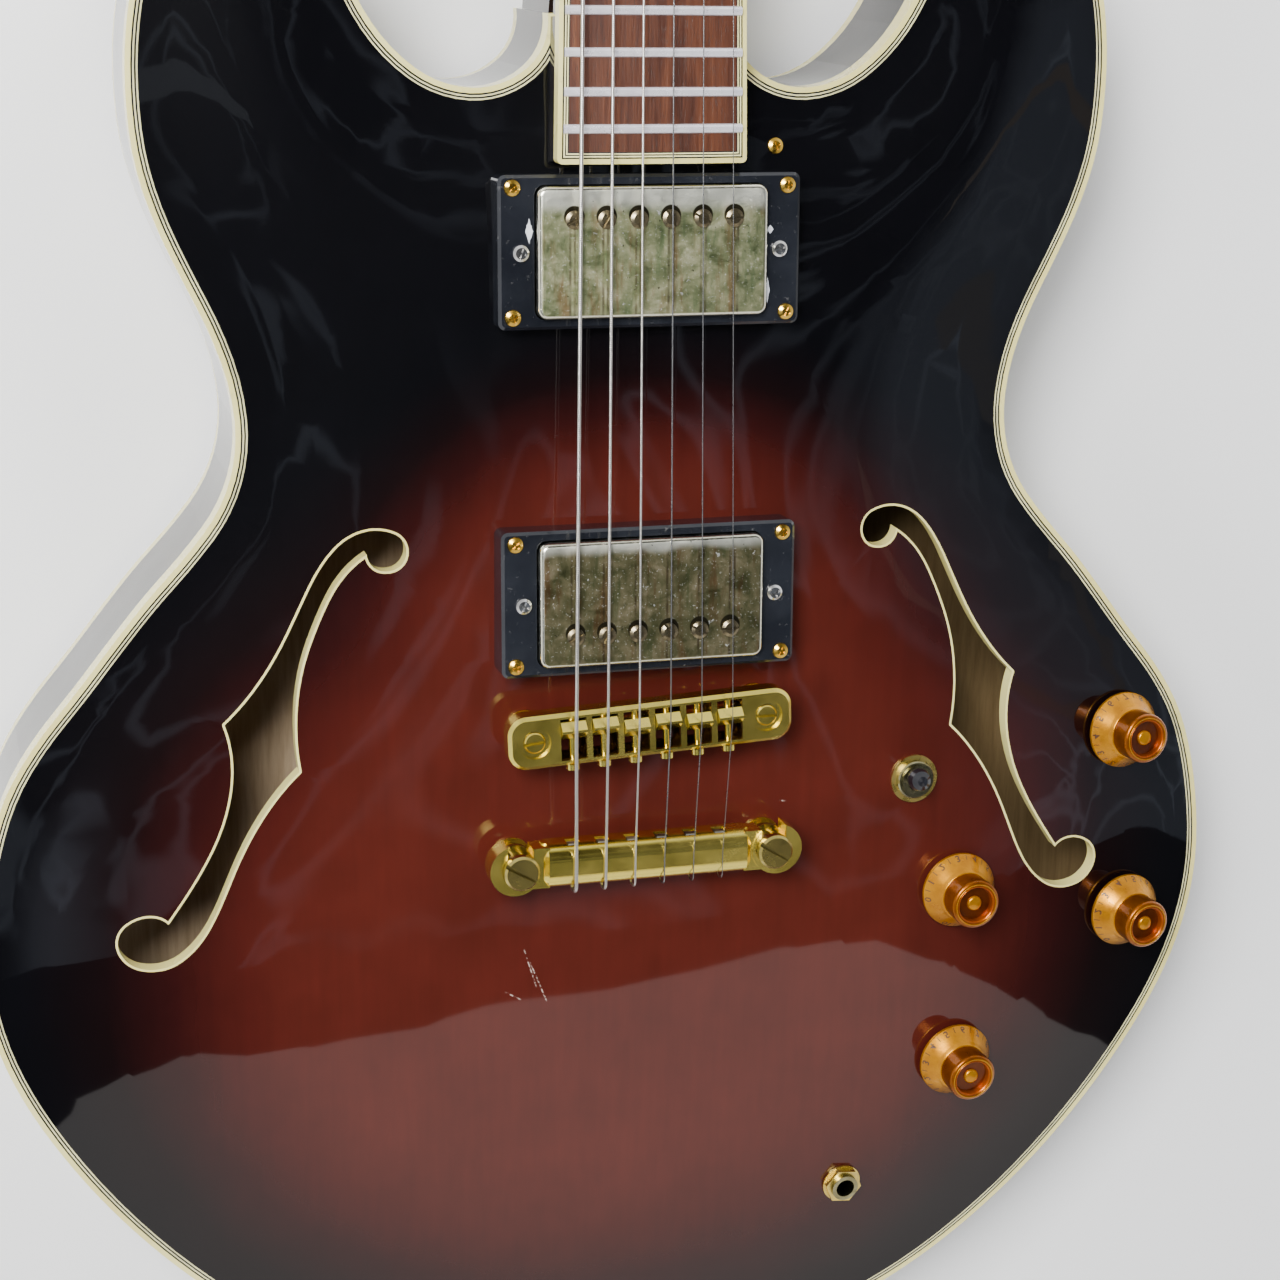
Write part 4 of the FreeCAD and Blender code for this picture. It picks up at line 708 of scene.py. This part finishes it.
def smooth_profile(points, radius=0.35, steps=3):
    """Rounds the corners of a (radius, height) outline a little."""
    rounded = []
    for index, (x, z) in enumerate(points):
        if index in (0, len(points) - 1) or x < 0.01:
            rounded.append((x, z))
            continue
        corner = Vector((x, z))
        before = Vector(points[index - 1]) - corner
        after = Vector(points[index + 1]) - corner
        cut = min(radius, before.length * 0.4, after.length * 0.4)
        start = corner + before.normalized() * cut
        end = corner + after.normalized() * cut
        for step in range(steps + 1):
            t = step / steps
            spot = (1 - t) ** 2 * start + 2 * t * (1 - t) * corner + t * t * end
            rounded.append((spot.x, spot.y))
    return rounded


def seat_of(joint, turn=0.0):
    """The place of a joint, with Z along its axis, turned about it by some degrees."""
    axis = Vector(joint["axis"]).normalized()
    across = (Vector((1, 0, 0)) - axis * axis.x).normalized()
    along = axis.cross(across)
    rotation = Matrix((across, along, axis)).transposed().to_4x4()
    return (Matrix.Translation(joint["pos_m"]) @ rotation
            @ Matrix.Rotation(math.radians(turn), 4, "Z"))


def gilt(name, low, high):
    """Gold paint seen through a thick layer of clear amber plastic."""
    s = Shader(name, Metallic=0.8, Coat_Weight=0.3, Coat_Roughness=0.03)
    cloud = s.noise(160, 4, 0.6)
    s.out("Base Color", s.mix(s.span(cloud, 0.3, 0.7), low, high))
    s.out("Roughness", s.span(cloud, 0.3, 0.8, 0.26, 0.42, False))
    s.bump(s.noise(500, 2), 0.00003, 0.3)
    return s


SKIRT = gilt("skirt_gold", (0.50, 0.185, 0.0), (0.66, 0.275, 0.0))
COLUMN = gilt("column_orange", (0.24, 0.060, 0.0), (0.34, 0.095, 0.0))
GLOW = gilt("recess_orange", (0.34, 0.066, 0.0), (0.46, 0.105, 0.0))
KNOB_RED = gilt("knob_red", (0.10, 0.018, 0.001), (0.16, 0.034, 0.002))
DIAL = plastic("dial_brown", (0.05, 0.018, 0.004), 0.35, 0.0)


# The middle of the band of numbers on a knob's skirt, and the skirt's slope there.
DIAL_RADIUS = 11.88 * MM
DIAL_HEIGHT = 3.84 * MM
DIAL_SLOPE = math.atan2(2.6, -2.0)
DIAL_START = -150
DIAL_STEP = 30


def dial_marks(name, where):
    """Numbers and short ticks printed round the sloping skirt."""
    built = bmesh.new()

    def on_skirt(u, v, angle):
        """u runs round the skirt and v up its slope, both in metres from its middle."""
        radius = DIAL_RADIUS + v * math.cos(DIAL_SLOPE)
        height = DIAL_HEIGHT + v * math.sin(DIAL_SLOPE)
        turn = angle + u / radius
        return Vector((radius * math.sin(turn), radius * math.cos(turn), height))

    for digit in range(11):
        angle = math.radians(DIAL_START + DIAL_STEP * digit)
        text = bpy.data.curves.new(f"{name}_{digit}", "FONT")
        text.body = str(digit)
        text.size = 0.0034
        text.offset = 0.00006
        text.align_x = "CENTER"
        text.align_y = "CENTER"
        text.resolution_u = 3
        holder = bpy.data.objects.new(f"{name}_{digit}", text)
        bpy.context.scene.collection.objects.link(holder)
        bpy.context.view_layer.update()
        flat = bpy.data.meshes.new_from_object(holder)
        start = len(built.verts)
        built.from_mesh(flat)
        built.verts.ensure_lookup_table()
        for vertex in built.verts[start:]:
            vertex.co = on_skirt(vertex.co.x, vertex.co.y, angle)
        bpy.data.objects.remove(holder)
        bpy.data.meshes.remove(flat)
        if digit < 10:
            tick = math.radians(DIAL_START + DIAL_STEP * (digit + 0.5))
            corners = [built.verts.new(on_skirt(u, v, tick)) for u, v in (
                (-0.00013, -0.0011), (0.00013, -0.0011), (0.00013, 0.0009), (-0.00013, 0.0009))]
            built.faces.new(corners)
    return mesh_piece(name, built, where)


# Outlines of a knob's parts as (radius, height) in mm; TURNS says how far each knob is turned.
SKIRT_SHAPE = [(11.9, 1.4), (12.55, 1.4), (12.8, 1.7), (12.8, 2.6), (10.8, 5.2), (9.1, 7.3),
               (8.3, 8.6), (7.4, 8.6), (7.4, 7.6), (9.9, 4.6), (11.9, 2.3)]
COLUMN_SHAPE = [(7.4, 8.7), (8.15, 8.7), (8.1, 9.4), (8.3, 15.2), (7.95, 16.0), (7.2, 16.4),
                (6.5, 16.35), (6.5, 10.2), (7.0, 9.4)]
LIP_SHAPE = [(6.5, 16.0), (6.45, 16.36), (6.2, 16.36), (5.9, 15.9), (5.5, 14.3), (5.6, 14.1)]
RECESS_SHAPE = [(5.55, 14.25), (2.5, 14.15), (0, 14.15)]
BOSS_SHAPE = [(2.5, 14.16), (2.4, 14.9), (1.9, 15.15), (0, 15.2)]
GOLD_LINE = [(7.05, 16.39), (7.25, 16.43), (6.85, 16.45), (6.7, 16.36)]
TURNS = {"knob_neck_volume": -52, "knob_neck_tone": 24, "knob_bridge_volume": 64,
         "knob_bridge_tone": -8}
for knob, turn in TURNS.items():
    joint = JOINTS[knob.replace("knob_", "") + "_turn"]
    seat = seat_of(joint, turn)
    skirt = paint(turned(knob + "_skirt", smooth_profile(SKIRT_SHAPE, 0.25), seat), SKIRT)
    column = paint(turned(knob + "_column", smooth_profile(COLUMN_SHAPE, 0.3), seat), COLUMN)
    lip = paint(turned(knob + "_lip", LIP_SHAPE, seat, closed=False), GLOW)
    recess = paint(turned(knob + "_recess", RECESS_SHAPE, seat, closed=False), KNOB_RED)
    boss = paint(turned(knob + "_boss", BOSS_SHAPE, seat, closed=False), SKIRT)
    line = paint(turned(knob + "_line", GOLD_LINE, seat), SKIRT)
    marks = paint(dial_marks(knob + "_dial", seat), DIAL)
    for piece in (skirt, column, lip, recess, boss, line, marks):
        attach(piece, knob)
    for piece in (skirt, column, recess, boss):
        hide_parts(knob)


POST_WAIST = 2.5
COIL_TOP = 9.9
COIL_STEPS = 24
STRING_DIAMETERS = (1.17, 0.91, 0.66, 0.43, 0.33, 0.25)


def coil(number, side, diameter, turns):
    """The turns of string wound round one tuner's post."""
    seat = seat_of(JOINTS[f"post_{number}_turn"])
    curve = bpy.data.curves.new(f"winding_{number}", "CURVE")
    curve.dimensions = "3D"
    curve.bevel_depth = diameter / 2 * MM
    curve.bevel_resolution = 3
    steps = int(turns * COIL_STEPS)
    run = curve.splines.new("POLY")
    run.points.add(steps)
    for step in range(steps + 1):
        angle = side * 2 * math.pi * step / COIL_STEPS
        radius = (POST_WAIST + diameter / 2 + 0.05) * MM
        height = (COIL_TOP - step / COIL_STEPS * (diameter + 0.04)) * MM
        spot = seat @ Vector((-side * radius * math.cos(angle), radius * math.sin(angle), height))
        run.points[step].co = (*spot, 1)
    piece = bpy.data.objects.new(f"winding_{number}", curve)
    bpy.context.scene.collection.objects.link(piece)
    bpy.context.view_layer.update()
    mesh = bpy.data.meshes.new_from_object(piece)
    bpy.data.objects.remove(piece)
    for face in mesh.polygons:
        face.use_smooth = True
    return add_mesh(f"winding_{number}", mesh)


for number, diameter in enumerate(STRING_DIAMETERS, start=1):
    side = -1 if number <= 3 else 1
    winding = coil(number, side, diameter, 2.2 if diameter > 0.6 else 4.4)
    paint(winding, STEEL)
    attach(winding, f"tuner_post_{number}")


# ---- floor, light and camera ---------------------------------------------------------------------

def floor_shader():
    s = Shader("pale_floor", Roughness=0.75)
    s.out("Base Color", s.mix(s.noise(5, 4), (0.93, 0.93, 0.93), (0.96, 0.96, 0.96)))
    s.bump(s.noise(30, 4), 0.0012, 0.25)
    return s


FLOOR_HALF = 6
mesh = bpy.data.meshes.new("floor")
low = min(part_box(name)[0].z for name in NODES)
mesh.from_pydata([(x * FLOOR_HALF, y * FLOOR_HALF, low)
                  for x, y in ((-1, -1), (1, -1), (1, 1), (-1, 1))], [], [(0, 1, 2, 3)])
floor = add_mesh("floor", mesh)
paint(floor, floor_shader())


def area_light(name, place, target, width, height, power):
    light = bpy.data.lights.new(name, "AREA")
    light.shape = "RECTANGLE"
    light.size = width
    light.size_y = height
    light.energy = power
    lamp = bpy.data.objects.new(name, light)
    lamp.location = place
    lamp.rotation_euler = (Vector(target) - Vector(place)).to_track_quat("-Z", "Y").to_euler()
    bpy.context.scene.collection.objects.link(lamp)
    return lamp


def card(name, outline, height, glow, colour=(1.0, 0.97, 0.94), wisps=False):
    """A glowing panel for the lacquer to mirror, hidden from the camera; wisps make it smoke."""
    mesh = bpy.data.meshes.new(name)
    corners = [DATUM @ Vector((x, y, height)) for x, y in outline]
    mesh.from_pydata(corners, [], [tuple(range(len(corners)))])
    panel = add_mesh(name, mesh)
    s = Shader(name, Roughness=1.0)
    s.set(Base_Color=(0.02, 0.02, 0.02, 1), Emission_Color=(*colour, 1), Emission_Strength=glow)
    if wisps:
        ridge = s.math("ABSOLUTE", s.math("SUBTRACT", s.noise(2.1, 2, 0.5, None, 1.6), 0.5))
        fade = s.span(s.noise(1.3, 1), 0.36, 0.60)
        x = s.split()[0]
        haze = s.math("ADD", s.span(x, 0.85, 1.25, 0.0, 0.38), s.span(x, -0.40, -0.62, 0.0, 0.60))
        wisp = s.math("MULTIPLY", fade, s.span(ridge, 0.040, 0.0, 0.0, glow))
        s.out("Emission Strength", s.math("ADD", haze, wisp))
    paint(panel, s)
    panel.visible_camera = False


CARD_HEIGHT = 1.5
BLUISH = (0.8, 0.9, 1.0)
area_light("key", (-0.75, 1.00, 1.40), (0, 0.25, 0), 0.7, 0.7, 62)
for name, place, width, height, power in (("side", (-1.9, 0.2, 1.2), 1.2, 1.0, 30),
                                          ("fill", (1.4, 2.2, 1.6), 1.2, 1.2, 34)):
    area_light(name, place, (0, 0.3, 0), width, height, power).visible_glossy = False
card("low_card", [(-0.75, -1.30), (-0.50, -1.11), (-0.25, -0.97), (0.07, -0.88), (0.27, -0.837),
                  (0.455, -0.808), (0.62, -0.794), (0.774, -0.811), (0.97, -0.922),
                  (1.45, -1.30), (2.2, -2.0), (2.0, -3.2), (-1.4, -3.2)], CARD_HEIGHT, 1.05)
card("left_streak", [(-0.42, 0.08), (-0.16, 0.06), (-0.15, 0.10), (-0.40, 0.14)], CARD_HEIGHT,
     0.32, BLUISH)
card("right_streak", [(0.98, -0.06), (1.40, 0.10), (1.42, 0.15), (0.97, -0.02)], CARD_HEIGHT,
     0.42, (1.0, 0.85, 0.70))
card("waist_streak", [(1.00, -0.27), (1.40, -0.36), (1.40, -0.32), (1.00, -0.23)], CARD_HEIGHT,
     0.32)
card("smoke", [(-1.3, -0.75), (2.1, -0.75), (2.1, 0.7), (-1.3, 0.7)], CARD_HEIGHT + 0.02,
     0.42,
     (0.72, 0.82, 1.0), wisps=True)

# The room glows near the horizon and is dark overhead.
HORIZON = (0.22, 1.1)
OVERHEAD = (0.62, 0.035)
world = bpy.data.worlds.new("studio")
world.use_nodes = True
sky = world.node_tree
direction = sky.nodes.new("ShaderNodeTexCoord")
parts = sky.nodes.new("ShaderNodeSeparateXYZ")
level = sky.nodes.new("ShaderNodeMapRange")
level.interpolation_type = "SMOOTHSTEP"
for socket, number in zip(list(level.inputs)[1:5], (HORIZON[0], OVERHEAD[0],
                                                    HORIZON[1], OVERHEAD[1])):
    socket.default_value = number
sky.links.new(direction.outputs["Generated"], parts.inputs[0])
sky.links.new(parts.outputs[2], level.inputs[0])
sky.links.new(level.outputs[0], sky.nodes["Background"].inputs["Strength"])
sky.nodes["Background"].inputs["Color"].default_value = (0.97, 0.98, 1.0, 1)
bpy.context.scene.world = world

# The camera in the scale frame; its focal length is a share of the picture's width.
FOCAL_SHARE = 2510.12 / 1280
CAMERA_PLACE = (-0.20689, 0.23548, 0.71664)
CAMERA_TURNS = (("Z", 0.0179), ("Y", -0.2756), ("X", -0.2856))
camera = bpy.data.cameras.new("camera")
camera.sensor_width = 36
camera.lens = FOCAL_SHARE * camera.sensor_width
camera.clip_start = 0.01
view = bpy.data.objects.new("camera", camera)
placing = DATUM @ Matrix.Translation(CAMERA_PLACE)
for axis, angle in CAMERA_TURNS:
    placing = placing @ Matrix.Rotation(angle, 4, axis)
view.matrix_world = placing
bpy.context.scene.collection.objects.link(view)
bpy.context.scene.camera = view
